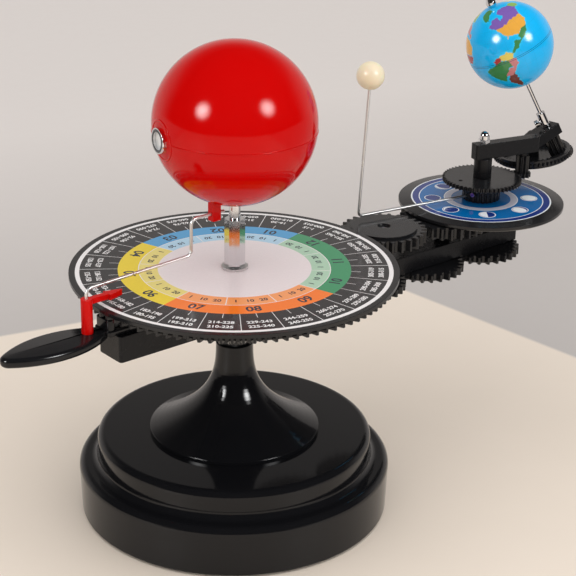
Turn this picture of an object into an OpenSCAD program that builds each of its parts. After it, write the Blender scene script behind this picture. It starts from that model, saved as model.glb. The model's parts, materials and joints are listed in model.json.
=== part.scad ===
// Tellurion: a geared model of the Sun, the Earth and the Moon on a round pedestal.
// At rest the arm lies along +X. The origin is the centre of the foot pad, on the table.

/* [Base] */
// Radius of the base at the table
base_r = 98.5; // [94:0.5:120]
// Outward lean of the lower tier's side
base_bulge = 1; // [0:0.5:3]
// Height of the lower tier
lower_tier_h = 34; // [26:1:44]
// Radius of the upper tier
upper_tier_r = 87.5; // [70:0.5:89]
// Height of the upper tier above the lower one
upper_tier_h = 18; // [12:1:28]
// Wall of the moulded base
base_wall = 3; // [2:0.5:4]
// Rounding of the tier edges
tier_edge_r = 4.5; // [2:0.5:6]
// Thickness of the foot pad
pad_t = 2; // [1:0.5:4]
// Thickness of the bottom cover
cover_t = 3; // [2:0.5:5]
// Number of cover screws
cover_screws = 4; // [3:1:6]

/* [Pedestal column] */
// Height of the trumpet column
column_h = 60; // [45:1:80]
// Radius of the column's foot
column_foot_r = 54; // [40:1:60]
// Height of the upright lip around the column's foot
column_lip = 2.5; // [1:0.5:5]
// Radius of the column's neck
column_neck_r = 11.8; // [10:0.2:15]
// Power of the flare curve
flare_power = 2.9; // [1.6:0.1:4]
// Wall of the column
column_wall = 4; // [2.5:0.5:5]
// Height of the nut on the column
nut_h = 5; // [3:0.5:8]
// Radius of the spindle
spindle_r = 5; // [4:0.5:6]

/* [Gear trains] */
// Module of the dial's gear train
gear_m = 2; // [1.8:0.1:2.2]
// Teeth under the dial
dial_teeth = 98; // [90:1:104]
// Teeth of the first gear
gear_a_teeth = 27; // [24:1:32]
// Teeth of the second gear
gear_b_teeth = 28; // [24:1:32]
// Teeth of the Moon's pinion
moon_teeth = 8; // [8:1:10]
// Teeth of each of the five equal gears below the arm
lower_teeth = 27; // [24:1:32]
// Thickness of the gears below the arm
lower_gear_t = 5; // [4:0.5:8]
// Thickness of the first gear
gear_a_t = 7.5; // [6:0.5:9]
// Height of the raised plate on the first gear
gear_a_plate_t = 1.5; // [0.5:0.5:2]
// Thickness of the second gear
gear_b_t = 8; // [6:0.5:9]
// Radius of the gear axles
axle_r = 2.5; // [2:0.25:3]
// Module of the Earth's gear train
fine_m = 1; // [0.9:0.05:1.1]
// Teeth of the Moon's upper gear
moon_gear_teeth = 53; // [48:1:56]
// Thickness of the Moon's upper gear
moon_gear_t = 3; // [2:0.5:4]
// Lower teeth of the stepped pinion
step_low_teeth = 11; // [10:1:13]
// Upper teeth of the stepped pinion
step_top_teeth = 8; // [8:1:9]
// Length of the stepped pinion's upper teeth
step_top_h = 12; // [10:0.5:13]
// Outer teeth of the ring gear
ring_outer_teeth = 55; // [54:1:58]
// Inner teeth of the ring gear
ring_inner_teeth = 46; // [44:1:46]
// Teeth of the Earth's pinion
earth_teeth = 10; // [9:1:11]

/* [Dial] */
// How far the dial's flange passes the teeth
flange_lip = 2.5; // [1:0.5:5]
// Thickness of the flange
flange_t = 2.2; // [1.8:0.1:3]
// Height of the toothed rim below the flange
dial_rim_h = 4.5; // [3.5:0.5:6]
// Height of the dial from its hub's foot to its top
dial_h = 17.5; // [16.5:0.5:24]
// Width of the black edge outside the printed face
dial_edge = 3.8; // [2:0.2:6]
// Thickness of the printed faces
face_t = 0.6; // [0.4:0.1:1]

/* [Arm] */
// Width of the arm
arm_w = 23; // [20:1:26]
// Height of the long right-hand part
arm_h = 12; // [10:0.5:14]
// Height of the left-hand part and the hub
head_h = 16.5; // [15:0.5:20]
// Length of the left-hand part
head_len = 93.5; // [80:0.5:96]
// Corner radius of the arm
arm_corner_r = 2; // [1:0.5:4]
// Length of the handle's leaf
handle_len = 78; // [60:1:90]
// Width of the handle's leaf
handle_w = 30; // [24:1:40]
// Thickness of the handle
handle_t = 6; // [5:0.5:9]
// Thickness of the tongue that lies on the arm
tongue_t = 3.4; // [2.5:0.1:4]
// Distance of the pointer from the dial's axis
pointer_x = 108.5; // [107:0.5:114]
// Radius of the pointer's post
pointer_r = 3.5; // [2.5:0.25:4]
// Height of the pointer's top above the dial
pointer_rise = 7; // [6:0.5:12]
// Length of the pointer's arrow
pointer_len = 25; // [15:1:35]
// Radius of the link wire
link_r = 1; // [0.75:0.05:1.25]

/* [Moon] */
// Radius of the Moon disc
disc_r = 57; // [50:0.5:59]
// Thickness of the Moon disc
disc_t = 3.8; // [3:0.1:4.5]
// Depth of the Moon disc's top below the dial's top
disc_drop = 1.2; // [0.5:0.1:1.8]
// Width of the bevelled black edge of the Moon disc
disc_edge = 8.6; // [5:0.2:12]
// Radius of the ribbed drum
drum_r = 13; // [11:0.5:15]
// Height of the ribbed drum
drum_h = 12.2; // [11:0.2:16]
// Radius of the Earth's shaft
shaft_r = 3; // [2.5:0.25:3.25]
// Distance of the Moon's upright from the Earth's column
moon_orbit_r = 100; // [97:0.5:106]
// Height of the Moon's centre above its wire's level run
moon_rise = 95.5; // [80:0.5:110]
// Inward lean of the Moon's upright
moon_lean = 3.6; // [0:0.2:4]
// Radius of the Moon
moon_r = 9.2; // [6:0.2:12]
// Radius of the Moon's wire
moon_wire_r = 1; // [0.75:0.05:1.25]
// Direction of the Moon from the column at rest
moon_az = 170; // [0:1:359]

/* [Earth] */
// Radius of the Earth's column
column_r = 6.2; // [5.8:0.1:7]
// Height of the Earth's column
earth_column_h = 13.4; // [13:0.2:16]
// Direction of the bracket at rest
bracket_az = -14; // [-30:1:30]
// Width of the bracket
bracket_w = 8; // [7:0.5:10]
// Height of the bracket
bracket_h = 10.6; // [9.6:0.2:12]
// Direction of the stepped pinion in the bracket
step_az = -1; // [-2:0.5:2]
// Direction from the stepped pinion to the ring gear
ring_az = 43; // [40:0.5:46]
// Direction from the ring gear to the Earth's pinion
pinion_az = -50; // [-53:0.5:-47]
// Tilt of the ring gear
ring_tilt = 8; // [6:0.5:9]
// Tilt of the Earth's axis
earth_tilt = 27; // [24:0.5:28]
// Direction in which the axis leans, in the bracket
lean_az = 161; // [158:1:164]
// Distance along the axis from the tilted block to the globe's centre
globe_rise = 69.5; // [58:0.5:82]
// Radius of the globe
globe_r = 30; // [24:0.5:36]
// Wall of the globe
globe_wall = 1.5; // [1:0.25:3]
// Radius of the axis rod
rod_r = 1.4; // [1:0.1:2]

/* [Sun] */
// Radius of the Sun
sun_r = 50; // [44:0.5:54]
// Wall of the Sun
sun_wall = 2; // [1.5:0.25:3]
// Height of the Sun's centre above the dial
sun_rise = 93; // [88:0.5:105]
// Depth of the seam below the Sun's centre
seam_drop = 4; // [0:0.5:6]
// Height of the hexagonal post
hex_post_h = 31; // [26:0.5:34]
// Radius of the hexagonal post over its corners
hex_post_r = 6.4; // [6:0.1:8]
// Direction of the post's flats
hex_turn = 20; // [0:1:59]
// Radius of the pin that carries the Sun
pin_r = 3.5; // [3:0.25:4]
// Radius of the lamp's bezel
bezel_r = 7.8; // [6:0.2:9]
// Direction of the lamp
lamp_az = 170; // [150:1:210]
// Travel of the lamp switch
switch_travel = 4; // [3:0.5:5]

/* [Hidden] */
$fn = 96;

// Clearances: running radius, gap between turning faces, overshoot of a cut
fit = 0.05;
gap = 0.4;
cut = 1;

// Tooth proportions as shares of the module, and the working angle of a tooth
addendum = 0.75;
dedendum = 1.05;
slim = 0.32;
slim_tilted = 0.5;
tooth_angle = 20;

// Colours
black = [0.09, 0.09, 0.1];
chrome = [0.8, 0.8, 0.82];
brass = [0.75, 0.6, 0.3];
red = [0.8, 0.03, 0.02];

// Plan of the train along the arm
dial_pitch_r = gear_m * dial_teeth / 2;
gear_a_r = gear_m * gear_a_teeth / 2;
gear_b_r = gear_m * gear_b_teeth / 2;
moon_pinion_r = gear_m * moon_teeth / 2;
gear_a_x = dial_pitch_r + gear_a_r;
gear_b_x = gear_a_x + gear_a_r + gear_b_r;
arm_l = gear_b_x + gear_b_r + moon_pinion_r;
lower_step = arm_l / 4;
lower_m = lower_step / lower_teeth;

// Heights, from the table upwards
base_top = lower_tier_h + upper_tier_h;
column_top = base_top + column_h;
lower_hub_h = 5;
lower_gear_z = column_top + nut_h + lower_hub_h;
arm_z = lower_gear_z + lower_gear_t + gap;
arm_top = arm_z + arm_h;
head_top = arm_z + head_h;
dial_foot = head_top + gap;
dial_top = dial_foot + dial_h;
flange_z = dial_top - flange_t;
dial_rim_z = flange_z - dial_rim_h;
gear_a_top = flange_z - gap;
gear_a_z = gear_a_top - gear_a_t;
disc_top = dial_top - disc_drop;
disc_z = disc_top - disc_t;
gear_b_top = disc_z - gap;
gear_b_z = gear_b_top - gear_b_t;
drum_z = disc_top + gap;
moon_wire_rise = 3.2;
moon_wire_z = drum_z + moon_wire_rise;
moon_gear_z = drum_z + drum_h;
moon_gear_top = moon_gear_z + moon_gear_t;
earth_column_z = moon_gear_top + gap;
bracket_z = earth_column_z + earth_column_h;
bracket_top = bracket_z + bracket_h;
sun_z = dial_top + sun_rise;
seam_z = sun_z - seam_drop;

// Radii that follow from the parts beside them
flange_r = dial_pitch_r + addendum * gear_m + flange_lip;
dial_face_r = flange_r - dial_edge;
dial_rim_wall = 4;
disc_face_r = disc_r - disc_edge;
sleeve_wall = 2;
sleeve_r = shaft_r + sleeve_wall;
sleeve_room = 1;
disc_hole_r = sleeve_r + sleeve_room;
disc_chamfer = 0.8;
disc_slope = 1;
disc_step = 0.6;
moon_bend = 3;
moon_depth = 5;
drum_roof = 3;
drum_sleeve_h = drum_h - drum_roof;
drum_ribs = 24;
drum_groove_r = 0.9;
set_screw_turn = 30;
set_screw_proud = 2;
sight_hole_r = 1.4;
sight_hole_inset = 8.5;
stud_step = 2;
stud_r = spindle_r - stud_step;
stud_h = 12;
bush_wall = 3;
bush_r = spindle_r + bush_wall;
shaft_bush_wall = 2;
shaft_bush_r = shaft_r + shaft_bush_wall;
washer_lip = 1.8;
washer_r = hex_post_r + washer_lip;
washer_t = 1.5;
hex_post_z = dial_top + washer_t;
hex_post_top = hex_post_z + hex_post_h;
pin_depth = 8;

// Base and dial details
cover_screw_inset = 14;
cover_screw_turn = 45;
cover_screw_len = 10;
screw_boss_r = 4;
screw_boss_bore = 12;
pad_inset = 6;
spindle_tail = 10;
spindle_nut_h = 7;
nut_rim = 5.4;
lower_hub_r = spindle_r + 4;
dial_hub_r = bush_r + 4;
dial_ribs = 6;
dial_rib_t = 2;

// Arm details
block_room = 3.5;
block_x = arm_l + moon_pinion_r + addendum * gear_m + block_room;
arm_block_l = 14;
arm_end = block_x + arm_block_l;
block_mid_x = block_x + arm_block_l / 2;
hub_wall = 9;
hub_end = bush_r + hub_wall;
pillar_wall = 3;
pillar_r = axle_r + pillar_wall;
shaft_boss_wall = 2;
axle_depth = 7;
axle_head_lip = 1.5;
axle_head_r = axle_r + axle_head_lip;
axle_head_t = 1.6;
socket_r = 1.6;
socket_depth = 0.8;
screw_r = 1.5;
screw_head_r = 2.8;
screw_head_t = 1.6;
screw_depth = 9;
screw_spare = 2;
screw_grip = screw_depth - screw_spare;
plate_room = 1;
gear_a_plate_r = gear_a_x - flange_r - plate_room;
gear_b_boss_r = axle_head_r + 3;

// Handle details
handle_top = head_top + tongue_t;
handle_z = handle_top - handle_t;
leaf_overlap = 3;
leaf_blunt = 2;
handle_x = -head_len - handle_len / 2 + leaf_overlap;
leaf_r = (pow(handle_len, 2) + pow(handle_w, 2)) / (4 * handle_w);
tongue_len = 16;
tongue_w = 16;
tongue_root = 6;
guide_inset = 1;
guide_sink = 1;
guide_gap = 1;
pointer_top = dial_top + pointer_rise;
pointer_peg_r = pointer_r - 1;
pointer_seat = 3;
link_depth = 8;
link_bend = 4;
link_level = 13.2;
link_climb = 2.8;
link_rise_x = -33;
link_tail = 4;
// A bend is a hair thicker than the wire, whose straight runs reach a little way into it
bend_swell = 0.03;
bend_overlap = 0.3;

// Stepped pinion, ring gear and Earth's pinion in the bracket
fine_gap = 0.3;
moon_gear_r = fine_m * moon_gear_teeth / 2;
step_low_r = fine_m * step_low_teeth / 2;
step_top_r = fine_m * step_top_teeth / 2;
ring_outer_r = fine_m * ring_outer_teeth / 2;
ring_inner_r = fine_m * ring_inner_teeth / 2;
earth_pinion_r = fine_m * earth_teeth / 2;
fine_axle_r = 1.5;
fine_axle_depth = 6;
fine_head_r = fine_axle_r + 1;
fine_head_t = 1.2;
fine_boss_r = 3.2;
step_sink = 0.8;
step_z = moon_gear_z - step_sink;
step_mid_z = moon_gear_top + gap - step_sink;
step_top_z = step_mid_z + step_top_h;
step_pos = (moon_gear_r + step_low_r) * [cos(step_az), sin(step_az)];
ring_pos = step_pos + (ring_outer_r + step_top_r + fine_gap) * [cos(ring_az), sin(ring_az)];
ring_rim_h = 2;
ring_floor_t = 1.2;
ring_wall_h = 3;
ring_drop = 3;
ring_bowl_r = ring_outer_r + step_top_r - step_low_r - addendum * fine_m;
ring_rise = 2.2;
ring_mesh_slope = tan(ring_tilt) * cos(ring_az + 180 - lean_az) * ring_outer_r;
ring_z = step_mid_z + ring_rise + ring_mesh_slope;
ring_hub_r = 4;
ring_hub_h = (bracket_z - ring_z - fine_gap - ring_hub_r * sin(ring_tilt)) / cos(ring_tilt);

// Earth's axis: its pinion meets the ring gear's inner teeth at this point
mesh_rise = 2;
mesh_lean = mesh_rise * tan(ring_tilt);
mesh_reach = ring_inner_r - earth_pinion_r - fine_gap;
mesh_pos = ring_pos + mesh_lean * [cos(lean_az), sin(lean_az)]
    + mesh_reach * [cos(pinion_az), sin(pinion_az)];
mesh_slope = -tan(ring_tilt) * cos(pinion_az - lean_az) * mesh_reach;
mesh_z = ring_z + mesh_slope + mesh_rise;
pinion_low = 1.6;
pinion_high = 13.4;
block_h = 7.4;
block_w = 16;
block_back = 19;
block_front = 5.8;
block_low = pinion_high + fine_gap;
block_mid = block_low + block_h / 2;
block_high = block_low + block_h;
collar_r = 3.2;
collar_h = 10.5;
collar_low = block_high + fine_gap;
thumb_rise = 4.2;
thumb_r = 1;
thumb_neck = 1;
thumb_head_r = 2.6;
thumb_head_t = 2.6;
globe_mid = block_mid + globe_rise;
finial_r = 3.6;
finial_foot_r = 2.2;
finial_top_r = 1.8;
finial_foot_h = 2.4;
finial_belly_h = 1.6;
finial_cone_h = 4;
finial_bore = finial_foot_h + finial_belly_h;
bar_setback = 23;
bar_end = mesh_pos[0] - bar_setback;
bracket_heel = 1.8;
bracket_corner_r = 1.5;
shaft_foot = 2;
shaft_stub = 5;
shaft_stub_r = 2;
nut_hex_r = 4;
nut_hex_h = 2.8;
nut_neck_h = 2.2;
nut_dome_r = 3.4;
strut_root = 30;
strut_w = 10;
strut_t = 5;
strut_roof = 1;
strut_run = ring_pos - [strut_root, 0];

// Sun details
sun_foot = sun_z - sun_r;
pin_reach = 24;
pin_top = sun_foot + pin_reach;
boss_wall = 3.5;
boss_r = pin_r + boss_wall;
boss_roof = 3;
boss_top = pin_top + boss_roof;
lug_x = 15.5;
lug_len = 6;
lug_w = 5;
lug_low = 8.3;
lug_root = 2;
lug_top = sun_z - sqrt(pow(sun_r, 2) - pow(lug_x, 2)) + lug_root;
link_drop = 4;
link_z = sun_foot - link_drop;
bezel_t = 3;
bezel_lip = 2;
bezel_sink = 0.8;
lamp_r = bezel_r - bezel_lip;
lamp_face = sqrt(pow(sun_r, 2) - pow(bezel_r, 2) - pow(seam_drop, 2)) - bezel_sink;
lens_t = 2.4;
lens_wall = 1.2;
lens_edge = 1;
lamp_depth = 11;
reflector_foot_r = 3;
reflector_wall = 0.8;
reflector_floor = 1.5;
cell_r = 7.1;
cell_len = 50;
cell_tip_r = 2.6;
cell_tip_h = 1.2;
cell_gap = 0.8;
cell_count = 3;
cell_step = 2 * cell_r + cell_gap;
holder_wall = 1.6;
holder_play = 1.8;
contact_room = 2.6;
holder_w = cell_count * cell_step + 2 * holder_wall + holder_play;
holder_len = cell_len + cell_tip_h + 2 * holder_wall + contact_room;
holder_h = 15;
switch_x = 20;
switch_w = 4;
switch_plate_t = 1.6;
switch_plate_lip = 1;
switch_pad_r = 9;
switch_pad_t = 4;
switch_proud = 3;
switch_pad_z = sun_z - sqrt(pow(sun_r - sun_wall, 2) - pow(switch_x, 2)) + switch_pad_t;
switch_knob_z = sun_z - sqrt(pow(sun_r, 2) - pow(switch_x, 2)) - switch_proud;

function polar(r, a) = [r * cos(a), r * sin(a)];
function arc(centre, r, from, to, steps = 8) =
    [for (i = [0 : steps]) centre + polar(r, from + (to - from) * i / steps)];
function flare(t) = column_neck_r + (column_foot_r - column_neck_r) * pow(t, flare_power);

// Turn of a gear of n2 teeth that meshes with n1 teeth turned by turn1. The first gear sees the
// second in direction dir1, and dir2 is the same direction in the second gear's own frame.
function mesh_turn(n1, turn1, n2, dir1 = 0, dir2 = 0) = dir2 + 180 + (180 - n1 * (turn1 - dir1)) / n2;
function inner_mesh_turn(n1, turn1, n2, dir1, dir2) = dir2 + n1 * (turn1 - dir1) / n2;
// A level direction as seen in a plane that leans toward lean_az
function leaned(dir, tilt) = lean_az + atan2(sin(dir - lean_az), cos(dir - lean_az) * cos(tilt));

// Turns of the gears that put them in mesh at rest
turn_a = mesh_turn(dial_teeth, 0, gear_a_teeth);
turn_b = mesh_turn(gear_a_teeth, turn_a, gear_b_teeth);
turn_moon = mesh_turn(gear_b_teeth, turn_b, moon_teeth);
turn_1 = mesh_turn(lower_teeth, 0, lower_teeth);
turn_2 = mesh_turn(lower_teeth, turn_1, lower_teeth);
turn_c = mesh_turn(lower_teeth, turn_2, lower_teeth);
turn_d = mesh_turn(lower_teeth, turn_c, lower_teeth);
turn_step_low = mesh_turn(moon_gear_teeth, 0, step_low_teeth, step_az, step_az);
turn_ring = mesh_turn(step_top_teeth, 0, ring_outer_teeth, ring_az, leaned(ring_az, ring_tilt));
turn_earth = inner_mesh_turn(ring_inner_teeth, 0, earth_teeth,
    leaned(pinion_az, ring_tilt), leaned(pinion_az, earth_tilt));

// Gear outline with straight-flanked teeth
module gear_2d(n, m, thin = slim, add = addendum, ded = dedendum) {
    r = n * m / 2;
    tip = r + add * m;
    root = r - ded * m;
    half = (PI / 2 - thin) * m / 2;
    tip_a = (half - add * m * tan(tooth_angle)) / tip * 180 / PI;
    root_a = (half + ded * m * tan(tooth_angle)) / root * 180 / PI;
    polygon([for (i = [0 : n - 1]) each [
        polar(root, i * 360 / n - root_a), polar(tip, i * 360 / n - tip_a),
        polar(tip, i * 360 / n + tip_a), polar(root, i * 360 / n + root_a)]]);
}

module gear(n, m, h, turn, thin = slim) {
    rotate(turn) linear_extrude(h) gear_2d(n, m, thin);
}

module tube(outer, inner, h) {
    difference() {
        cylinder(r = outer, h = h);
        translate([0, 0, -cut]) cylinder(r = inner, h = h + 2 * cut);
    }
}

// Box with rounded upright edges, from x0 to x1
module bar(x0, x1, w, h, r) {
    corners = [[x1 - r, w / 2 - r, 0], [x0 + r, w / 2 - r, 90],
        [x0 + r, r - w / 2, 180], [x1 - r, r - w / 2, 270]];
    linear_extrude(h) polygon([for (c = corners) each arc([c[0], c[1]], r, c[2], c[2] + 90, 5)]);
}

// Wire in the XZ plane through the corners p, each rounded to the radius bend
function heading(p, i) = atan2(p[i + 1][1] - p[i][1], p[i + 1][0] - p[i][0]);
function wrapped(a) = a > 180 ? a - 360 : a < -180 ? a + 360 : a;
function corner(p, i) = i == 0 || i == len(p) - 1 ? 0 : wrapped(heading(p, i) - heading(p, i - 1));
module bent_wire(p, r, bend) {
    setback = [for (i = [0 : len(p) - 1]) bend * tan(abs(corner(p, i)) / 2)];
    rotate([90, 0, 0]) for (i = [0 : len(p) - 2]) {
        run = norm(p[i + 1] - p[i]) - setback[i] - setback[i + 1];
        into_start = i > 0 ? bend_overlap : 0;
        into_end = i < len(p) - 2 ? bend_overlap : 0;
        translate(p[i]) rotate(heading(p, i)) translate([setback[i], 0, 0]) {
            translate([-into_start, 0, 0]) rotate([0, 90, 0])
                cylinder(r = r, h = into_start + run + into_end);
            if (i < len(p) - 2) translate([run, 0, 0]) elbow(r + bend_swell, bend, corner(p, i + 1));
        }
    }
}

// Quarter of a ring that leaves the origin along +X and turns by a
module elbow(r, bend, a) {
    side = sign(a);
    translate([0, side * bend, 0]) rotate(side > 0 ? -90 : 90 + a)
        rotate_extrude(angle = abs(a)) translate([bend, 0]) circle(r = r);
}

module pan_screw(length) {
    cylinder(r = screw_head_r, h = screw_head_t);
    translate([0, 0, -length]) cylinder(r = screw_r, h = length);
}

// Frames of the moving groups
module at_arm(x, z) { translate([x, 0, z]) children(); }
module at_bracket() { translate([arm_l, 0, 0]) rotate(bracket_az) children(); }
module leaning(tilt) { rotate(lean_az) rotate([0, tilt, 0]) rotate(-lean_az) children(); }
module at_ring() {
    at_bracket() translate([ring_pos[0], ring_pos[1], ring_z]) leaning(ring_tilt) children();
}
module at_earth() {
    at_bracket() translate([mesh_pos[0], mesh_pos[1], mesh_z]) leaning(earth_tilt) children();
}
module at_lamp() { translate([0, 0, seam_z]) rotate(lamp_az) rotate([0, 90, 0]) children(); }

// Base

module base_profile(inset) {
    side = base_r + base_bulge;
    ledge = lower_tier_h - inset;
    top = base_top - inset;
    polygon(concat(
        [[0, pad_t - cut * inset], [base_r - inset, pad_t - cut * inset]],
        arc([side - tier_edge_r - inset, ledge - tier_edge_r], tier_edge_r, 0, 90),
        arc([upper_tier_r + tier_edge_r - inset, ledge + tier_edge_r], tier_edge_r, 270, 180),
        arc([upper_tier_r - tier_edge_r - inset, top - tier_edge_r], tier_edge_r, 0, 90),
        [[0, top]]));
}

module on_cover_screws() {
    for (i = [0 : cover_screws - 1]) rotate(cover_screw_turn + i * 360 / cover_screws)
        translate([upper_tier_r - base_wall - cover_screw_inset, 0, 0]) children();
}

module base_shell() color(black) {
    difference() {
        rotate_extrude() base_profile(0);
        rotate_extrude() base_profile(base_wall);
        cylinder(r = spindle_r, h = base_top + cut);
    }
    on_cover_screws() translate([0, 0, pad_t + cover_t]) difference() {
        cylinder(r = screw_boss_r, h = base_top - base_wall / 2 - pad_t - cover_t);
        translate([0, 0, -cut]) cylinder(r = screw_r, h = screw_boss_bore + cut);
    }
}

module bottom_cover() color([0.2, 0.2, 0.2]) difference() {
    translate([0, 0, pad_t]) cylinder(r = base_r - base_wall - gap, h = cover_t);
    on_cover_screws() {
        translate([0, 0, pad_t - cut]) cylinder(r = screw_r, h = cover_t + 2 * cut);
        translate([0, 0, pad_t - cut]) cylinder(r = screw_head_r, h = screw_head_t + cut);
    }
}

module foot_pad() color([0.15, 0.15, 0.15]) cylinder(r = base_r - base_wall - pad_inset, h = pad_t);

module cover_screws_set() color(chrome)
    on_cover_screws() translate([0, 0, pad_t + screw_head_t]) mirror([0, 0, 1]) pan_screw(cover_screw_len);

module pedestal_column() color(black) difference() {
    steps = 28;
    fall = column_h - column_lip;
    bore_r = column_foot_r - column_wall;
    outer = [for (i = [0 : steps]) [flare(i / steps), column_top - fall * i / steps]];
    inner = [for (i = [steps / 2 : steps]) [flare(i / steps) - column_wall, column_top - fall * i / steps]];
    rotate_extrude() polygon(concat([[0, column_top]], outer, [[column_foot_r, base_top], [0, base_top]]));
    rotate_extrude()
        polygon(concat([[0, inner[0][1]]], inner, [[bore_r, base_top - cut], [0, base_top - cut]]));
    translate([0, 0, base_top]) cylinder(r = spindle_r, h = column_h + cut);
}

module spindle() color(chrome) {
    low = base_top - base_wall - spindle_tail;
    translate([0, 0, low]) cylinder(r = spindle_r, h = dial_top - face_t - low);
    translate([0, 0, dial_top - face_t]) cylinder(r = stud_r, h = face_t + washer_t + stud_h);
}

module hex_nut(z, h) color(chrome) translate([0, 0, z]) difference() {
    cylinder(r = spindle_r + nut_rim, h = h, $fn = 6);
    translate([0, 0, -cut]) cylinder(r = spindle_r, h = h + 2 * cut);
}

module spindle_nut() hex_nut(base_top - base_wall - spindle_nut_h, spindle_nut_h);
module column_nut() hex_nut(column_top, nut_h);

module fixed_center_gear() color(black) difference() {
    union() {
        translate([0, 0, lower_gear_z]) gear(lower_teeth, lower_m, lower_gear_t, 0);
        translate([0, 0, lower_gear_z - lower_hub_h]) cylinder(r = lower_hub_r, h = lower_hub_h);
    }
    cylinder(r = spindle_r, h = arm_z);
}

// Dial

module dial_plate() color(black) {
    rim_in = dial_pitch_r - dedendum * gear_m - dial_rim_wall;
    difference() {
        union() {
            translate([0, 0, flange_z]) cylinder(r = flange_r, h = flange_t);
            translate([0, 0, dial_foot]) cylinder(r = dial_hub_r, h = flange_z - dial_foot);
        }
        translate([0, 0, dial_top - face_t]) cylinder(r = dial_face_r, h = face_t + cut);
        cylinder(r = spindle_r, h = dial_top + cut);
    }
    translate([0, 0, dial_rim_z]) difference() {
        gear(dial_teeth, gear_m, dial_rim_h, 0);
        translate([0, 0, -cut]) cylinder(r = rim_in, h = dial_rim_h + 2 * cut);
    }
    for (i = [0 : dial_ribs - 1]) rotate((i + 0.5) * 360 / dial_ribs)
        translate([dial_hub_r - cut, -dial_rib_t / 2, dial_rim_z])
            cube([rim_in - dial_hub_r + 2 * cut, dial_rib_t, dial_rim_h]);
}

module dial_face() color([0.88, 0.85, 0.85])
    translate([0, 0, dial_top - face_t]) tube(dial_face_r, stud_r, face_t);

module post_washer() color(chrome) translate([0, 0, dial_top]) tube(washer_r, stud_r, washer_t);

module hex_post() color(chrome) difference() {
    translate([0, 0, hex_post_z]) rotate(hex_turn) cylinder(r = hex_post_r, h = hex_post_h, $fn = 6);
    translate([0, 0, hex_post_z - cut]) cylinder(r = stud_r, h = stud_h + cut);
    translate([0, 0, hex_post_top - pin_depth]) cylinder(r = pin_r, h = pin_depth + cut);
}

module sun_pin() color(chrome)
    translate([0, 0, hex_post_top - pin_depth]) cylinder(r = pin_r, h = pin_top - hex_post_top + pin_depth);

// Arm

upper_axles = [[gear_a_x, gear_a_z, gear_a_top], [gear_b_x, gear_b_z, gear_b_top]];
lower_axles_x = [lower_step, 2 * lower_step, 3 * lower_step];
disc_screw_y = 7;
tongue_screws_x = [-head_len + 4, -head_len + 11];

module arm_head() color(black) difference() {
    translate([0, 0, arm_z]) bar(-head_len, hub_end + arm_corner_r, arm_w, head_h, arm_corner_r);
    translate([hub_end, -arm_w, arm_z - cut]) cube([arm_w, 2 * arm_w, head_h + 2 * cut]);
    translate([0, 0, arm_z - cut]) cylinder(r = bush_r, h = head_h + 2 * cut);
    for (x = tongue_screws_x) at_arm(x, head_top - screw_depth) cylinder(r = screw_r, h = screw_depth + cut);
}

module arm_beam() color(black) difference() {
    translate([0, 0, arm_z]) bar(hub_end - arm_corner_r, arm_end, arm_w, arm_h, arm_corner_r);
    translate([hub_end - arm_w, -arm_w, arm_z - cut]) cube([arm_w, 2 * arm_w, arm_h + 2 * cut]);
    for (a = upper_axles) at_arm(a[0], arm_top - axle_depth) cylinder(r = axle_r, h = axle_depth + cut);
    for (x = lower_axles_x) at_arm(x, arm_z - cut) cylinder(r = axle_r, h = axle_depth + cut);
    at_arm(arm_l, arm_z - cut) cylinder(r = shaft_bush_r, h = arm_h + 2 * cut);
}

// Posts on the arm that carry the upper gears, the shaft's bush and the Moon disc
module arm_posts() color(black) {
    for (a = upper_axles) at_arm(a[0], arm_top) tube(pillar_r, axle_r, a[1] - gap - arm_top);
    at_arm(arm_l, arm_top) tube(shaft_bush_r + shaft_boss_wall, shaft_bush_r, gear_b_z - gap - arm_top);
    difference() {
        translate([0, 0, arm_top]) bar(block_x, arm_end, arm_w, disc_z - arm_top, arm_corner_r);
        for (s = [-1, 1]) translate([block_mid_x, s * disc_screw_y, disc_z - screw_depth])
            cylinder(r = screw_r, h = screw_depth + cut);
    }
}

module arm_bush() color(brass) translate([0, 0, arm_z]) tube(bush_r, spindle_r + fit, head_h);

module shaft_bush() color(brass)
    at_arm(arm_l, arm_z) tube(shaft_bush_r, shaft_r + fit, gear_b_z - gap - arm_z);

module leaf(h) intersection() {
    translate([0, leaf_r - handle_w / 2, 0]) cylinder(r = leaf_r, h = h);
    translate([0, handle_w / 2 - leaf_r, 0]) cylinder(r = leaf_r, h = h);
    cylinder(r = handle_len / 2 - leaf_blunt, h = h);
}

module handle() color(black) difference() {
    guide_h = dial_rim_z - guide_gap - handle_top;
    union() {
        difference() {
            translate([handle_x, 0, handle_z]) leaf(handle_t);
            translate([-head_len, -handle_w, handle_z - cut])
                cube([handle_w, 2 * handle_w, handle_t + 2 * cut]);
        }
        translate([0, 0, head_top])
            bar(-head_len - tongue_root, tongue_len - head_len, tongue_w, tongue_t, arm_corner_r);
        difference() {
            translate([0, 0, handle_top - guide_sink])
                bar(-head_len - tongue_root + guide_inset, tongue_screws_x[0] - screw_head_r - gap,
                    tongue_w - 2 * guide_inset, guide_h + guide_sink, arm_corner_r);
            at_arm(-pointer_x, handle_top) cylinder(r = pointer_r + gap, h = guide_h + cut);
        }
    }
    for (x = tongue_screws_x) at_arm(x, head_top - cut) cylinder(r = screw_r, h = tongue_t + 2 * cut);
    at_arm(-pointer_x, handle_top - pointer_seat) cylinder(r = pointer_peg_r, h = pointer_seat + cut);
}

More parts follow.
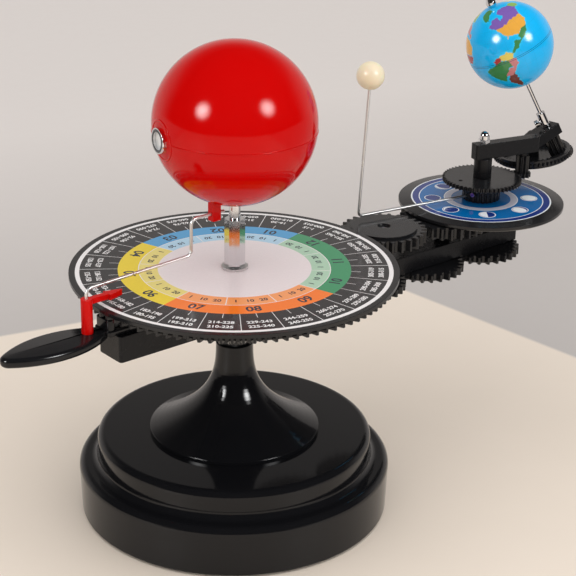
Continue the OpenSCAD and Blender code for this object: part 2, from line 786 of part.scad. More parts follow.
module arm_screws() color(chrome) {
    for (x = tongue_screws_x) at_arm(x, handle_top) pan_screw(tongue_t + screw_grip);
    seat_z = disc_top - face_t - screw_head_t;
    for (s = [-1, 1]) translate([block_mid_x, s * disc_screw_y, seat_z])
        pan_screw(seat_z - disc_z + screw_grip);
    for (a = upper_axles) at_arm(a[0], a[2] - screw_head_t) difference() {
        cylinder(r = axle_head_r, h = screw_head_t);
        translate([0, 0, screw_head_t - socket_depth])
            cylinder(r = socket_r, h = socket_depth + cut, $fn = 6);
    }
    for (x = lower_axles_x) at_arm(x, lower_gear_z - gap - axle_head_t)
        cylinder(r = axle_head_r, h = axle_head_t);
}

module pointer() color(red) difference() {
    arrow_t = 3.4;
    tip = pointer_len;
    neck = 1.8;
    head = 11;
    barb = neck + 2;
    blunt = 0.8;
    union() {
        at_arm(-pointer_x, handle_top) cylinder(r = pointer_r, h = pointer_top - handle_top);
        at_arm(-pointer_x, handle_top - pointer_seat) cylinder(r = pointer_peg_r, h = pointer_seat);
        at_arm(-pointer_x, pointer_top - arrow_t) linear_extrude(arrow_t) polygon([[0, -neck],
            [tip - head, -neck], [tip - head, -barb], [tip - blunt, -blunt], [tip, 0], [tip - blunt, blunt],
            [tip - head, barb], [tip - head, neck], [0, neck]]);
    }
    at_arm(-pointer_x, pointer_top - link_depth) cylinder(r = link_r, h = link_depth + cut);
}

// Wire that turns the Sun with the arm, from the pointer to the Sun's lug
module link_wire() color(chrome) {
    level_z = dial_top + link_level;
    bent_wire([[-pointer_x, pointer_top - link_depth], [-pointer_x, level_z],
        [link_rise_x, level_z + link_climb], [link_rise_x, link_z],
        [-lug_x + lug_len / 2 + link_tail, link_z]], link_r, link_bend);
}

module gear_axles() color(chrome) {
    for (a = upper_axles) at_arm(a[0], arm_top - axle_depth)
        cylinder(r = axle_r, h = a[2] - screw_head_t - arm_top + axle_depth);
    for (x = lower_axles_x) at_arm(x, lower_gear_z - gap)
        cylinder(r = axle_r, h = arm_z + axle_depth - lower_gear_z + gap);
}

module moon_disc() color(black) difference() {
    at_arm(arm_l, disc_z) rotate_extrude() polygon([[0, 0], [disc_r - disc_chamfer, 0],
        [disc_r, disc_chamfer], [disc_r, disc_t - disc_slope], [disc_face_r + disc_step, disc_t],
        [0, disc_t]]);
    at_arm(arm_l, disc_top - face_t) cylinder(r = disc_face_r, h = face_t + cut);
    at_arm(arm_l, disc_z - cut) cylinder(r = disc_hole_r, h = disc_t + 2 * cut);
    for (s = [-1, 1]) translate([block_mid_x, s * disc_screw_y, disc_z - cut]) {
        cylinder(r = screw_r, h = disc_t);
        translate([0, 0, cut + disc_t - face_t - screw_head_t]) cylinder(r = screw_head_r, h = disc_t);
    }
}

module moon_phase_face() color([0.08, 0.43, 0.75])
    at_arm(arm_l, disc_top - face_t) tube(disc_face_r, disc_hole_r, face_t);

// Gears on the arm

module upper_gear(n, x, z, h, turn, plate_t, plate_r) color(black) at_arm(x, z) difference() {
    union() {
        gear(n, gear_m, h, turn);
        cylinder(r = plate_r, h = h + plate_t);
    }
    translate([0, 0, -cut]) cylinder(r = axle_r + fit, h = h + plate_t + 2 * cut);
    translate([0, 0, h - screw_head_t - gap])
        cylinder(r = axle_head_r + gap, h = screw_head_t + gap + plate_t + cut);
}

module lower_gear(x, turn) color(black) at_arm(x, lower_gear_z) difference() {
    gear(lower_teeth, lower_m, lower_gear_t, turn);
    translate([0, 0, -cut]) cylinder(r = axle_r + fit, h = lower_gear_t + 2 * cut);
}

module gear_a()
    upper_gear(gear_a_teeth, gear_a_x, gear_a_z, gear_a_t, turn_a, gear_a_plate_t, gear_a_plate_r);
module gear_b() upper_gear(gear_b_teeth, gear_b_x, gear_b_z, gear_b_t, turn_b, 0, gear_b_boss_r);
module idler_1() lower_gear(lower_step, turn_1);
module idler_2() lower_gear(2 * lower_step, turn_2);
module gear_c() lower_gear(3 * lower_step, turn_c);

// Moon

module moon_pinion() color(black) at_arm(arm_l, gear_b_z) difference() {
    union() {
        gear(moon_teeth, gear_m, gear_b_t, turn_moon);
        cylinder(r = sleeve_r, h = drum_z + drum_sleeve_h - gear_b_z);
    }
    translate([0, 0, -cut]) cylinder(r = shaft_r + fit, h = drum_z + drum_h - gear_b_z);
}

module moon_drum() color(black) at_arm(arm_l, drum_z) difference() {
    cylinder(r = drum_r, h = drum_h);
    translate([0, 0, -cut]) cylinder(r = sleeve_r, h = drum_sleeve_h + cut);
    translate([0, 0, -cut]) cylinder(r = shaft_r + fit, h = drum_h + 2 * cut);
    for (i = [0 : drum_ribs - 1]) rotate(moon_az + (i + 0.5) * 360 / drum_ribs)
        translate([drum_r, 0, -cut]) cylinder(r = drum_groove_r, h = drum_h + 2 * cut);
    rotate(moon_az) translate([disc_hole_r, 0, moon_wire_rise]) rotate([0, 90, 0])
        cylinder(r = moon_wire_r, h = drum_r);
    rotate(moon_az + set_screw_turn) translate([sleeve_r, 0, drum_h / 2]) rotate([0, 90, 0])
        cylinder(r = screw_r, h = drum_r);
}

module moon_gear() color(black) at_arm(arm_l, moon_gear_z) difference() {
    gear(moon_gear_teeth, fine_m, moon_gear_t, bracket_az, slim_tilted);
    translate([0, 0, -cut]) cylinder(r = shaft_r + fit, h = moon_gear_t + 2 * cut);
    rotate(moon_az) translate([moon_gear_r - sight_hole_inset, 0, -cut])
        cylinder(r = sight_hole_r, h = moon_gear_t + 2 * cut);
}

module moon_set_screw() color(chrome) at_arm(arm_l, drum_z + drum_h / 2)
    rotate(moon_az + set_screw_turn) translate([sleeve_r, 0, 0]) rotate([0, 90, 0])
        cylinder(r = screw_r, h = drum_r - sleeve_r + set_screw_proud);

module moon_wire() color(chrome) at_arm(arm_l, moon_wire_z) rotate(moon_az) {
    length = (moon_rise / cos(moon_lean)) - moon_r + moon_depth;
    bent_wire([[disc_hole_r, 0], [moon_orbit_r, 0],
        [moon_orbit_r - length * sin(moon_lean), length * cos(moon_lean)]], moon_wire_r, moon_bend);
}

module moon_ball() color([0.96, 0.9, 0.76])
    at_arm(arm_l, moon_wire_z) rotate(moon_az) translate([moon_orbit_r, 0, 0]) rotate([0, -moon_lean, 0])
        translate([0, 0, moon_rise / cos(moon_lean)]) difference() {
            sphere(r = moon_r);
            translate([0, 0, -2 * moon_r]) cylinder(r = moon_wire_r, h = moon_r + moon_depth);
        }

// Earth's carrier

module gear_d() color(black) at_arm(arm_l, lower_gear_z) difference() {
    gear(lower_teeth, lower_m, lower_gear_t, turn_d);
    translate([0, 0, -cut]) cylinder(r = shaft_r, h = lower_gear_t + 2 * cut);
}

module earth_shaft() color(chrome) at_arm(arm_l, lower_gear_z - shaft_foot) {
    length = bracket_top - lower_gear_z + shaft_foot;
    cylinder(r = shaft_r, h = length);
    translate([0, 0, length]) cylinder(r = shaft_stub_r, h = shaft_stub);
}

module earth_column() color(black) at_arm(arm_l, earth_column_z) tube(column_r, shaft_r, earth_column_h);

module earth_bracket() color(black) difference() {
    union() {
        at_bracket() translate([0, 0, bracket_z])
            bar(-column_r - bracket_heel, bar_end, bracket_w, bracket_h, bracket_corner_r);
        at_bracket() translate([step_pos[0], step_pos[1], step_top_z + fine_gap])
            cylinder(r = fine_boss_r, h = bracket_z - step_top_z - fine_gap);
        at_bracket() translate([strut_root, 0, bracket_z]) rotate(atan2(strut_run[1], strut_run[0]))
            bar(0, norm(strut_run) + strut_w / 2, strut_w, strut_t, bracket_corner_r);
        at_earth() translate([-block_back, -block_w / 2, block_low])
            cube([block_back + block_front, block_w, block_h]);
    }
    at_arm(arm_l, bracket_z - cut) cylinder(r = shaft_r, h = bracket_h + 2 * cut);
    at_bracket() translate([step_pos[0], step_pos[1], step_top_z])
        cylinder(r = fine_axle_r, h = bracket_z + fine_axle_depth - step_top_z);
    at_ring() cylinder(r = fine_axle_r, h = ring_hub_h + strut_t - strut_roof);
    at_earth() cylinder(r = rod_r + fit, h = block_high + cut);
}

module acorn_nut() color(chrome) at_arm(arm_l, bracket_top) difference() {
    union() {
        cylinder(r = nut_hex_r, h = nut_hex_h, $fn = 6);
        translate([0, 0, nut_hex_h]) cylinder(r = nut_dome_r, h = nut_neck_h);
        translate([0, 0, nut_hex_h + nut_neck_h]) intersection() {
            sphere(r = nut_dome_r);
            cylinder(r = 2 * nut_dome_r, h = 2 * nut_dome_r);
        }
    }
    translate([0, 0, -cut]) cylinder(r = shaft_stub_r, h = shaft_stub + cut);
}

module bracket_axles() color(chrome) {
    at_bracket() translate([step_pos[0], step_pos[1], step_z - gap])
        fine_axle(bracket_z + fine_axle_depth - step_z + gap);
    at_ring() translate([0, 0, -ring_drop - gap])
        fine_axle(ring_drop + gap + ring_hub_h + strut_t - strut_roof);
}

module fine_axle(length) {
    cylinder(r = fine_axle_r, h = length);
    translate([0, 0, -fine_head_t]) cylinder(r = fine_head_r, h = fine_head_t);
}

module step_pinion() color(black) at_bracket() translate([step_pos[0], step_pos[1], step_z]) difference() {
    union() {
        gear(step_low_teeth, fine_m, step_mid_z - step_z, turn_step_low, slim_tilted);
        translate([0, 0, step_mid_z - step_z]) gear(step_top_teeth, fine_m, step_top_h, 0, slim_tilted);
    }
    translate([0, 0, -cut]) cylinder(r = fine_axle_r + fit, h = step_top_z - step_z + 2 * cut);
}

module ring_gear() color(black) at_ring() difference() {
    union() {
        difference() {
            union() {
                translate([0, 0, -ring_rim_h / 2])
                    gear(ring_outer_teeth, fine_m, ring_rim_h, turn_ring, slim_tilted);
                translate([0, 0, -ring_rim_h / 2])
                    cylinder(r = ring_outer_r - dedendum * fine_m, h = ring_rim_h / 2 + ring_wall_h);
                translate([0, 0, -ring_drop]) cylinder(r = ring_bowl_r, h = ring_drop);
            }
            translate([0, 0, ring_floor_t - ring_drop]) linear_extrude(ring_drop + ring_wall_h)
                gear_2d(ring_inner_teeth, fine_m, -slim_tilted, dedendum, addendum);
        }
        translate([0, 0, -ring_drop]) cylinder(r = ring_hub_r, h = ring_drop + ring_hub_h);
    }
    translate([0, 0, -ring_drop - cut]) cylinder(r = fine_axle_r + fit, h = ring_drop + ring_hub_h + 2 * cut);
}

// Earth

module earth_pinion() color(black) at_earth() translate([0, 0, -pinion_low]) difference() {
    gear(earth_teeth, fine_m, pinion_low + pinion_high, turn_earth, slim_tilted);
    translate([0, 0, -cut]) cylinder(r = rod_r, h = pinion_low + pinion_high + 2 * cut);
}

module axis_rod() color(chrome) at_earth() translate([0, 0, -pinion_low])
    cylinder(r = rod_r, h = globe_mid + globe_r + finial_bore + pinion_low);

module axis_collar() color(chrome) at_earth() translate([0, 0, collar_low]) difference() {
    tube(collar_r, rod_r, collar_h);
    rotate(lean_az) translate([0, 0, thumb_rise]) rotate([0, 90, 0])
        cylinder(r = thumb_r, h = collar_r + cut);
}

module thumb_screw() color(chrome) at_earth() rotate(lean_az)
    translate([rod_r, 0, collar_low + thumb_rise]) rotate([0, 90, 0]) {
        cylinder(r = thumb_r, h = collar_r + 2 * thumb_neck - rod_r);
        translate([0, 0, collar_r + thumb_neck - rod_r]) cylinder(r = thumb_head_r, h = thumb_head_t);
    }

module globe_half(side) difference() {
    at_earth() translate([0, 0, globe_mid]) difference() {
        sphere(r = globe_r);
        sphere(r = globe_r - globe_wall);
        translate([-2 * globe_r, -2 * globe_r, side > 0 ? -4 * globe_r : 0]) cube(4 * globe_r);
    }
    at_earth() cylinder(r = rod_r, h = globe_mid + 2 * globe_r);
}

module globe_north() color([0.1, 0.55, 0.9]) globe_half(1);
module globe_south() color([0.1, 0.55, 0.9]) globe_half(-1);

module globe_finial() color(chrome) at_earth() translate([0, 0, globe_mid + globe_r]) difference() {
    rotate_extrude() polygon([[0, 0], [finial_foot_r, 0], [finial_r, finial_foot_h], [finial_r, finial_bore],
        [finial_top_r, finial_bore + finial_cone_h], [0, finial_bore + finial_cone_h]]);
    translate([0, 0, -cut]) cylinder(r = rod_r, h = finial_bore + cut);
}

// Sun

module sun_ball() difference() {
    translate([0, 0, sun_z]) sphere(r = sun_r);
    translate([0, 0, sun_z]) sphere(r = sun_r - sun_wall);
    at_lamp() cylinder(r = lamp_r, h = 2 * sun_r);
    at_lamp() translate([0, 0, lamp_face]) cylinder(r = bezel_r, h = sun_r);
}

module sun_upper_shell() color(red) difference() {
    sun_ball();
    translate([-2 * sun_r, -2 * sun_r, seam_z - 4 * sun_r]) cube(4 * sun_r);
}

module sun_lower_shell() color(red) difference() {
    union() {
        difference() {
            sun_ball();
            translate([-2 * sun_r, -2 * sun_r, seam_z]) cube(4 * sun_r);
        }
        difference() {
            union() {
                translate([0, 0, sun_foot]) cylinder(r = boss_r, h = boss_top - sun_foot);
                translate([switch_x, 0, sun_foot]) cylinder(r = switch_pad_r, h = switch_pad_z - sun_foot);
                translate([-lug_x - lug_len / 2, -lug_w / 2, sun_foot - lug_low])
                    cube([lug_len, lug_w, lug_top - sun_foot + lug_low]);
            }
            difference() {
                translate([switch_x, 0, sun_foot - cut]) cylinder(r = switch_pad_r + cut, h = sun_r);
                translate([0, 0, sun_z]) sphere(r = sun_r - sun_wall / 2);
            }
        }
    }
    translate([0, 0, sun_foot - cut]) cylinder(r = pin_r + fit, h = pin_top + gap / 2 - sun_foot + cut);
    translate([-lug_x - lug_len, 0, link_z]) rotate([0, 90, 0])
        cylinder(r = link_r + gap / 2, h = 2 * lug_len);
    translate([switch_x, 0, sun_z - sun_r / 2])
        cube([switch_w + gap, switch_w + switch_travel + gap, sun_r], true);
}

module lamp_bezel() color(chrome) at_lamp() translate([0, 0, lamp_face])
    tube(bezel_r, lamp_r, bezel_t);

module lamp_lens() color([0.95, 0.95, 0.93]) at_lamp() translate([0, 0, lamp_face - lens_t / 2])
    difference() {
        cylinder(r = lamp_r, h = lens_t);
        translate([0, 0, -lens_wall]) cylinder(r = lamp_r - lens_edge, h = lens_t);
    }

module lamp_reflector() color(chrome) at_lamp() translate([0, 0, lamp_face - lens_t / 2 - lamp_depth]) {
    difference() {
        cylinder(r1 = reflector_foot_r, r2 = lamp_r, h = lamp_depth);
        translate([0, 0, reflector_floor]) cylinder(r1 = reflector_foot_r - reflector_wall,
            r2 = lamp_r - reflector_wall, h = lamp_depth - reflector_floor + bend_overlap);
    }
}

module battery_holder() color([0.12, 0.12, 0.12]) translate([0, 0, boss_top]) rotate(lamp_az) difference() {
    translate([-holder_w / 2, -holder_len / 2, 0]) cube([holder_w, holder_len, holder_h]);
    translate([-holder_w / 2 + holder_wall, -holder_len / 2 + holder_wall, holder_wall])
        cube([holder_w - 2 * holder_wall, holder_len - 2 * holder_wall, holder_h]);
}

module batteries() color([0.2, 0.3, 0.6]) translate([0, 0, boss_top + holder_wall + cell_r]) rotate(lamp_az)
    for (i = [0 : cell_count - 1])
        translate([(i - (cell_count - 1) / 2) * cell_step, -cell_len / 2, 0]) rotate([-90, 0, 0]) {
            cylinder(r = cell_r, h = cell_len);
            translate([0, 0, cell_len]) cylinder(r = cell_tip_r, h = cell_tip_h);
        }

module lamp_switch() color(black) translate([switch_x, -switch_travel / 2, 0]) {
    translate([-switch_w / 2, -switch_w / 2, switch_knob_z])
        cube([switch_w, switch_w, switch_pad_z + gap - switch_knob_z]);
    translate([-switch_w, -switch_w - switch_plate_lip, switch_pad_z + gap / 2])
        cube([2 * switch_w, 2 * (switch_w + switch_plate_lip), switch_plate_t]);
}

base_shell();
pedestal_column();
bottom_cover();
foot_pad();
cover_screws_set();
spindle();
spindle_nut();
column_nut();
fixed_center_gear();
dial_plate();
dial_face();
post_washer();
hex_post();
sun_pin();
arm_head();
arm_beam();
arm_posts();
arm_bush();
shaft_bush();
handle();
arm_screws();
pointer();
link_wire();
gear_axles();
moon_disc();
moon_phase_face();
gear_a();
gear_b();
idler_1();
idler_2();
gear_c();
moon_pinion();
moon_drum();
moon_gear();
moon_set_screw();
moon_wire();
moon_ball();
gear_d();
earth_shaft();
earth_column();
earth_bracket();
acorn_nut();
bracket_axles();
step_pinion();
ring_gear();
earth_pinion();
axis_rod();
axis_collar();
thumb_screw();
globe_north();
globe_south();
globe_finial();
sun_upper_shell();
sun_lower_shell();
lamp_bezel();
lamp_lens();
lamp_reflector();
battery_holder();
batteries();
lamp_switch();
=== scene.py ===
"""Looks of a geared Sun, Earth and Moon model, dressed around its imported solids.

Lengths are metres in the solids' own frame: +Z up, the arm along +X at rest. Print sizes are millimetres.
"""
import json
import math

import bmesh
import bpy
import numpy as np
from mathutils import Matrix, Vector


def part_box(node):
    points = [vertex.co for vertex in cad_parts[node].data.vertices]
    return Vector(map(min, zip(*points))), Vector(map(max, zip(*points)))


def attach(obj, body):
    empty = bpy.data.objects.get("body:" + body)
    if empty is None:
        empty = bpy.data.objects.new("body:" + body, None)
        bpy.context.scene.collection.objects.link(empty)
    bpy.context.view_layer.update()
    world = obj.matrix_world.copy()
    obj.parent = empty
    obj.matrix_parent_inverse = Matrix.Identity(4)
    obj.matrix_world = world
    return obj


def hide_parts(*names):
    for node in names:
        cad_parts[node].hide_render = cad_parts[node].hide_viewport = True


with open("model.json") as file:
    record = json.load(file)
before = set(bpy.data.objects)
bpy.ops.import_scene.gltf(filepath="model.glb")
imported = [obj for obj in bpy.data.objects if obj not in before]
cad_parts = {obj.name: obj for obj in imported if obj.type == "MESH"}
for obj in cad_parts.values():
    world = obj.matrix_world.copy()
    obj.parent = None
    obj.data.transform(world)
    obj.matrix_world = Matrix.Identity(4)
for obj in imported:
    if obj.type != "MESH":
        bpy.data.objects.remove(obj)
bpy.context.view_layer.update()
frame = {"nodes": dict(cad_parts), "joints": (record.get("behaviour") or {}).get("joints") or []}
nodes = frame["nodes"]

MM = 0.001
TAU = 2 * math.pi
INK_RISE = 0.04 * MM


# Camera, as fitted to the photograph's 576 x 576 frame

IMAGE_PX = 576
FOCAL_PX = 1683.3
SENSOR_MM = 36
CAMERA_PLACE = Vector((-0.5918, -0.7620, 0.5516))
CAMERA_FORWARD = Vector((0.5906, 0.7088, -0.3857)).normalized()
CAMERA_ROLL = math.radians(0.864)


def make_camera():
    data = bpy.data.cameras.new("camera")
    data.sensor_width = SENSOR_MM
    data.lens = FOCAL_PX / IMAGE_PX * SENSOR_MM
    data.clip_start = 0.01
    camera = bpy.data.objects.new("camera", data)
    bpy.context.scene.collection.objects.link(camera)
    right = CAMERA_FORWARD.cross(Vector((0, 0, 1))).normalized()
    up = right.cross(CAMERA_FORWARD)
    rolled = math.cos(CAMERA_ROLL) * right + math.sin(CAMERA_ROLL) * up
    turned_up = rolled.cross(CAMERA_FORWARD)
    pose = Matrix((rolled, turned_up, -CAMERA_FORWARD)).transposed().to_4x4()
    pose.translation = CAMERA_PLACE
    camera.matrix_world = pose
    bpy.context.scene.camera = camera


# Materials


class Tree:
    """A node tree with short calls to add nodes and join sockets."""

    def __init__(self, tree):
        self.tree = tree

    def add(self, kind, inputs=(), **settings):
        node = self.tree.nodes.new(kind)
        for key, value in settings.items():
            setattr(node, key, value)
        for socket, value in dict(inputs).items():
            self.feed(node.inputs[socket], value)
        return node

    def feed(self, socket, value):
        if isinstance(value, bpy.types.NodeSocket):
            self.tree.links.new(value, socket)
        else:
            socket.default_value = value

    def blend(self, factor, first, second):
        node = self.add("ShaderNodeMix", data_type="RGBA")
        self.feed(node.inputs["Factor"], factor)
        self.feed(node.inputs[6], first)
        self.feed(node.inputs[7], second)
        return node.outputs[2]

    def span(self, factor, low, high, start=0.3, end=0.7, ease="LINEAR"):
        """The factor's range from start to end, spread from low to high."""
        sockets = {"Value": factor, "From Min": start, "From Max": end, "To Min": low, "To Max": high}
        return self.add("ShaderNodeMapRange", sockets, interpolation_type=ease).outputs["Result"]

    def math(self, operation, first, second=0.0):
        return self.add("ShaderNodeMath", {0: first, 1: second}, operation=operation).outputs[0]

    def along(self, place, way):
        """How far a place lies along a direction."""
        node = self.add("ShaderNodeVectorMath", {0: place, 1: way}, operation="DOT_PRODUCT")
        return node.outputs["Value"]


class Shader(Tree):
    """One material with a Principled shader and the nodes that feed it, in object coordinates."""

    def __init__(self, name):
        self.material = bpy.data.materials.new(name)
        self.material.use_nodes = True
        super().__init__(self.material.node_tree)
        self.bsdf = self.tree.nodes["Principled BSDF"]
        self.place = self.add("ShaderNodeTexCoord").outputs["Object"]

    def set(self, **values):
        for key, value in values.items():
            self.feed(self.bsdf.inputs[key.replace("_", " ")], value)

    def noise(self, scale, detail=3, stretch=(1, 1, 1)):
        place = self.add("ShaderNodeMapping", {"Vector": self.place, "Scale": stretch}).outputs[0]
        sockets = {"Vector": place, "Scale": scale, "Detail": detail}
        return self.add("ShaderNodeTexNoise", sockets).outputs["Fac"]

    def bump(self, height, depth, soft_edge=0.0):
        """Fine relief, and where soft_edge is given, edges that catch light as if rounded by that much."""
        node = self.add("ShaderNodeBump", {"Height": height, "Distance": depth, "Strength": 1.0})
        if soft_edge:
            edge = self.add("ShaderNodeBevel", {"Radius": soft_edge}, samples=4)
            self.feed(node.inputs["Normal"], edge.outputs["Normal"])
        self.set(Normal=node.outputs["Normal"])


def shade(colour, factor):
    return tuple(min(1.0, c * factor) for c in colour[:3]) + (1.0,)


def plastic(name, colour, rough, specular=0.5, grain=1500, depth=4e-6, spread=0.06, soft_edge=0.5 * MM):
    """Moulded plastic: faint clouding of the colour, uneven gloss and a fine skin texture."""
    s = Shader(name)
    cloud = s.noise(45)
    s.set(Base_Color=s.blend(cloud, shade(colour, 1 - spread), shade(colour, 1 + spread)))
    s.set(Roughness=s.span(s.noise(160, 4), rough * 0.85, rough * 1.2), Specular_IOR_Level=specular)
    s.bump(s.noise(grain, 2), depth, soft_edge)
    return s.material


def metal(name, colour, rough, grain=(1, 1, 1), depth=2e-6, soft_edge=0.25 * MM):
    """Plated or turned metal with fine marks drawn out along the direction where grain is small."""
    s = Shader(name)
    marks = s.noise(700, 3, grain)
    s.set(Base_Color=s.blend(marks, shade(colour, 0.9), shade(colour, 1.06)), Metallic=1.0)
    s.set(Roughness=s.span(s.noise(220, 4), rough * 0.75, rough * 1.3))
    s.bump(marks, depth, soft_edge)
    return s.material


def ink(name, colour, rough=0.1):
    """Printed film under a clear gloss, with a faint mottle in the ink."""
    s = Shader(name)
    mottle = s.noise(900, 4)
    s.set(Base_Color=s.blend(mottle, shade(colour, 0.95), shade(colour, 1.05)))
    s.set(Roughness=s.span(s.noise(120, 3), rough * 0.8, rough * 1.3))
    s.bump(s.noise(300, 2), 3e-6)
    return s.material


def foam(name, colour):
    s = Shader(name)
    cells = s.add("ShaderNodeTexVoronoi", {"Vector": s.place, "Scale": 900.0}).outputs["Distance"]
    s.set(Base_Color=s.blend(cells, shade(colour, 0.7), shade(colour, 1.3)), Roughness=0.9)
    s.bump(cells, 1e-4)
    return s.material


def clear_lens(name):
    """A frosted clear cap that shows the pale reflector behind it."""
    s = Shader(name)
    s.set(Base_Color=s.blend(s.noise(400, 3), (0.93, 0.93, 0.93, 1), (0.98, 0.98, 0.98, 1)))
    s.set(Roughness=s.span(s.noise(500, 3), 0.14, 0.26), Transmission_Weight=0.08, IOR=1.49)
    s.bump(s.noise(260, 2), 2e-5, 0.4 * MM)
    return s.material


MERIDIANS, PARALLELS = 24, 12
LINE_SHARE = 0.02
LINE_INK = 0.16
SEAM_LINE = 0.006
SEAM_INK = 0.85


def map_skin(name):
    """Printed globe: map colours from the mesh, thin graticule lines from its longitudes and latitudes."""
    s = Shader(name)
    colour = s.add("ShaderNodeVertexColor", layer_name="map").outputs["Color"]
    paper = s.blend(s.noise(500, 4), (0.93, 0.93, 0.93, 1), (1, 1, 1, 1))
    print_node = s.add("ShaderNodeMix", data_type="RGBA", blend_type="MULTIPLY")
    s.feed(print_node.inputs["Factor"], 1.0)
    s.feed(print_node.inputs[6], colour)
    s.feed(print_node.inputs[7], paper)
    uv = s.add("ShaderNodeUVMap", uv_map="degrees").outputs["UV"]
    split = s.add("ShaderNodeSeparateXYZ", {"Vector": uv})
    lines = []
    for axis, count in (("X", MERIDIANS), ("Y", PARALLELS)):
        turns = s.math("MULTIPLY", split.outputs[axis], float(count))
        lines.append(s.math("LESS_THAN", s.math("FRACT", turns), LINE_SHARE))
    faint = s.math("MULTIPLY", s.math("MAXIMUM", *lines), LINE_INK)
    north = s.math("ABSOLUTE", s.math("SUBTRACT", split.outputs["Y"], 0.5))
    seam = s.math("COMPARE", north, SEAM_LINE)
    seam.node.inputs[2].default_value = SEAM_LINE / 4
    graticule = s.math("MAXIMUM", faint, s.math("MULTIPLY", seam, SEAM_INK))
    s.set(Base_Color=s.blend(graticule, print_node.outputs[2], (0.004, 0.03, 0.12, 1)))
    s.set(Roughness=s.span(s.noise(140, 3), 0.1, 0.18), Specular_IOR_Level=0.5)
    s.bump(s.noise(350, 2), 4e-6)
    return s.material


def moon_skin(name):
    s = Shader(name)
    cloud = s.noise(110, 5)
    s.set(Base_Color=s.blend(cloud, (0.86, 0.72, 0.47, 1), (0.95, 0.85, 0.64, 1)), Roughness=0.32)
    s.bump(s.noise(900, 3), 6e-6)
    s.set(Subsurface_Weight=0.15, Subsurface_Scale=0.004)
    return s.material


TABLE_TONES = ((0.83, 0.72, 0.61, 1), (0.865, 0.75, 0.64, 1))
TABLE_FRONT = (-0.64, -0.768, 0)
# Painted light: how much brighter the table's colour is painted towards its front, and over what reach
TABLE_PAINTED_LIGHT = (0.97, 1.1)
TABLE_LIGHT_REACH = (-0.12, 0.2)
TABLE_EDGES = ((4.06, 0.3409), (76.35, 0.3074))
TABLE_EDGE_SOFT = 0.002
WALL = (0.694, 0.638, 0.604, 1)
# Painted shade: the grey beyond the table is darker next to the table's edge, over this reach
WALL_FOOT_SHADE = 0.76
WALL_FOOT_REACH = 0.5


def floor_skin(name):
    """A pale table with painted light that brightens it towards its front, and the paler grey beyond its two
    far edges, with painted shade that darkens that grey towards the table.
    """
    s = Shader(name)
    table = s.blend(s.noise(14, 5), *TABLE_TONES)
    near = s.along(s.place, TABLE_FRONT)
    # painted light: the table's colour is scaled up towards its front
    light = s.span(near, *TABLE_PAINTED_LIGHT, *TABLE_LIGHT_REACH)
    table = s.add("ShaderNodeVectorMath", {0: table, "Scale": light}, operation="SCALE").outputs[0]
    past = []
    for degrees, distance in TABLE_EDGES:
        way = (math.cos(math.radians(degrees)), math.sin(math.radians(degrees)), 0)
        reach = s.along(s.place, way)
        past.append(s.span(reach, 0.0, 1.0, distance - TABLE_EDGE_SOFT, distance + TABLE_EDGE_SOFT))
    # painted shade: the grey beyond is scaled down towards the table's edge
    behind = s.span(reach, WALL_FOOT_SHADE, 1.0, distance, distance + WALL_FOOT_REACH)
    beyond = s.add("ShaderNodeVectorMath", {0: WALL[:3], "Scale": behind}, operation="SCALE").outputs[0]
    s.set(Base_Color=s.blend(s.math("MAXIMUM", *past), table, beyond))
    s.set(Roughness=s.span(s.noise(60, 4), 0.5, 0.6), Specular_IOR_Level=0.3)
    s.bump(s.noise(700, 2), 1e-5)
    return s.material


GLOSS_BLACK = plastic("gloss_black", (0.006, 0.006, 0.007), 0.09, 0.31, depth=2e-6, soft_edge=0.8 * MM)
SATIN_BLACK = plastic("satin_black", (0.008, 0.008, 0.009), 0.25, 0.2, grain=2200, depth=6e-6, spread=0.12,
                      soft_edge=0.8 * MM)
GEAR_BLACK = plastic("gear_black", (0.010, 0.010, 0.011), 0.2, 0.42, grain=2200, depth=4e-6, spread=0.12)
HANDLE_BLACK = plastic("handle_black", (0.008, 0.008, 0.009), 0.16, 0.3, depth=3e-6, soft_edge=0.0)
DARK_PLASTIC = plastic("dark_plastic", (0.02, 0.02, 0.022), 0.5, depth=9e-6, spread=0.15)
RED_GLOSS = plastic("red_gloss", (0.58, 0.001, 0.0007), 0.09, 0.2, depth=1e-6, spread=0.03)
RED_SATIN = plastic("red_satin", (0.62, 0.002, 0.001), 0.25, 0.16, depth=5e-6, spread=0.05)
CHROME = metal("chrome", (0.78, 0.78, 0.79), 0.08)
CHROME_UP = metal("chrome_drawn_up", (0.78, 0.78, 0.79), 0.1, grain=(1, 1, 0.05), depth=1e-6, soft_edge=0.0)
WIRE = metal("wire", (0.8, 0.79, 0.78), 0.36, depth=5e-7, soft_edge=0.0)
STEEL = metal("brushed_steel", (0.78, 0.77, 0.76), 0.32)
# Painted shade: dark metal for the shaded groove about the lamp's lens
CHROME_PAINTED_SHADE = metal("chrome_painted_shade", (0.12, 0.12, 0.13), 0.2)
ZINC = metal("zinc", (0.5, 0.5, 0.51), 0.28, depth=4e-6)
BRASS = metal("brass", (0.7, 0.5, 0.2), 0.25)
PAD_FOAM = foam("pad_foam", (0.03, 0.03, 0.03))
LENS = clear_lens("lamp_lens_clear")
CELL_WRAP = plastic("cell_wrap", (0.08, 0.16, 0.45), 0.25)
MAP = map_skin("globe_map")
IVORY = moon_skin("ivory")


# Mesh helpers


def finish_mesh(name, bm, materials, body, smooth=True, sharp=35):
    """Turns a bmesh into a piece that rides on a body."""
    bmesh.ops.recalc_face_normals(bm, faces=bm.faces)
    mesh = bpy.data.meshes.new(name)
    bm.to_mesh(mesh)
    bm.free()
    for material in materials:
        mesh.materials.append(material)
    if smooth:
        mesh.polygons.foreach_set("use_smooth", [True] * len(mesh.polygons))
        mesh.set_sharp_from_angle(angle=math.radians(sharp))
    piece = bpy.data.objects.new(name, mesh)
    bpy.context.scene.collection.objects.link(piece)
    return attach(piece, body)


def node_centre(node):
    low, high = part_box(node)
    return (low + high) / 2


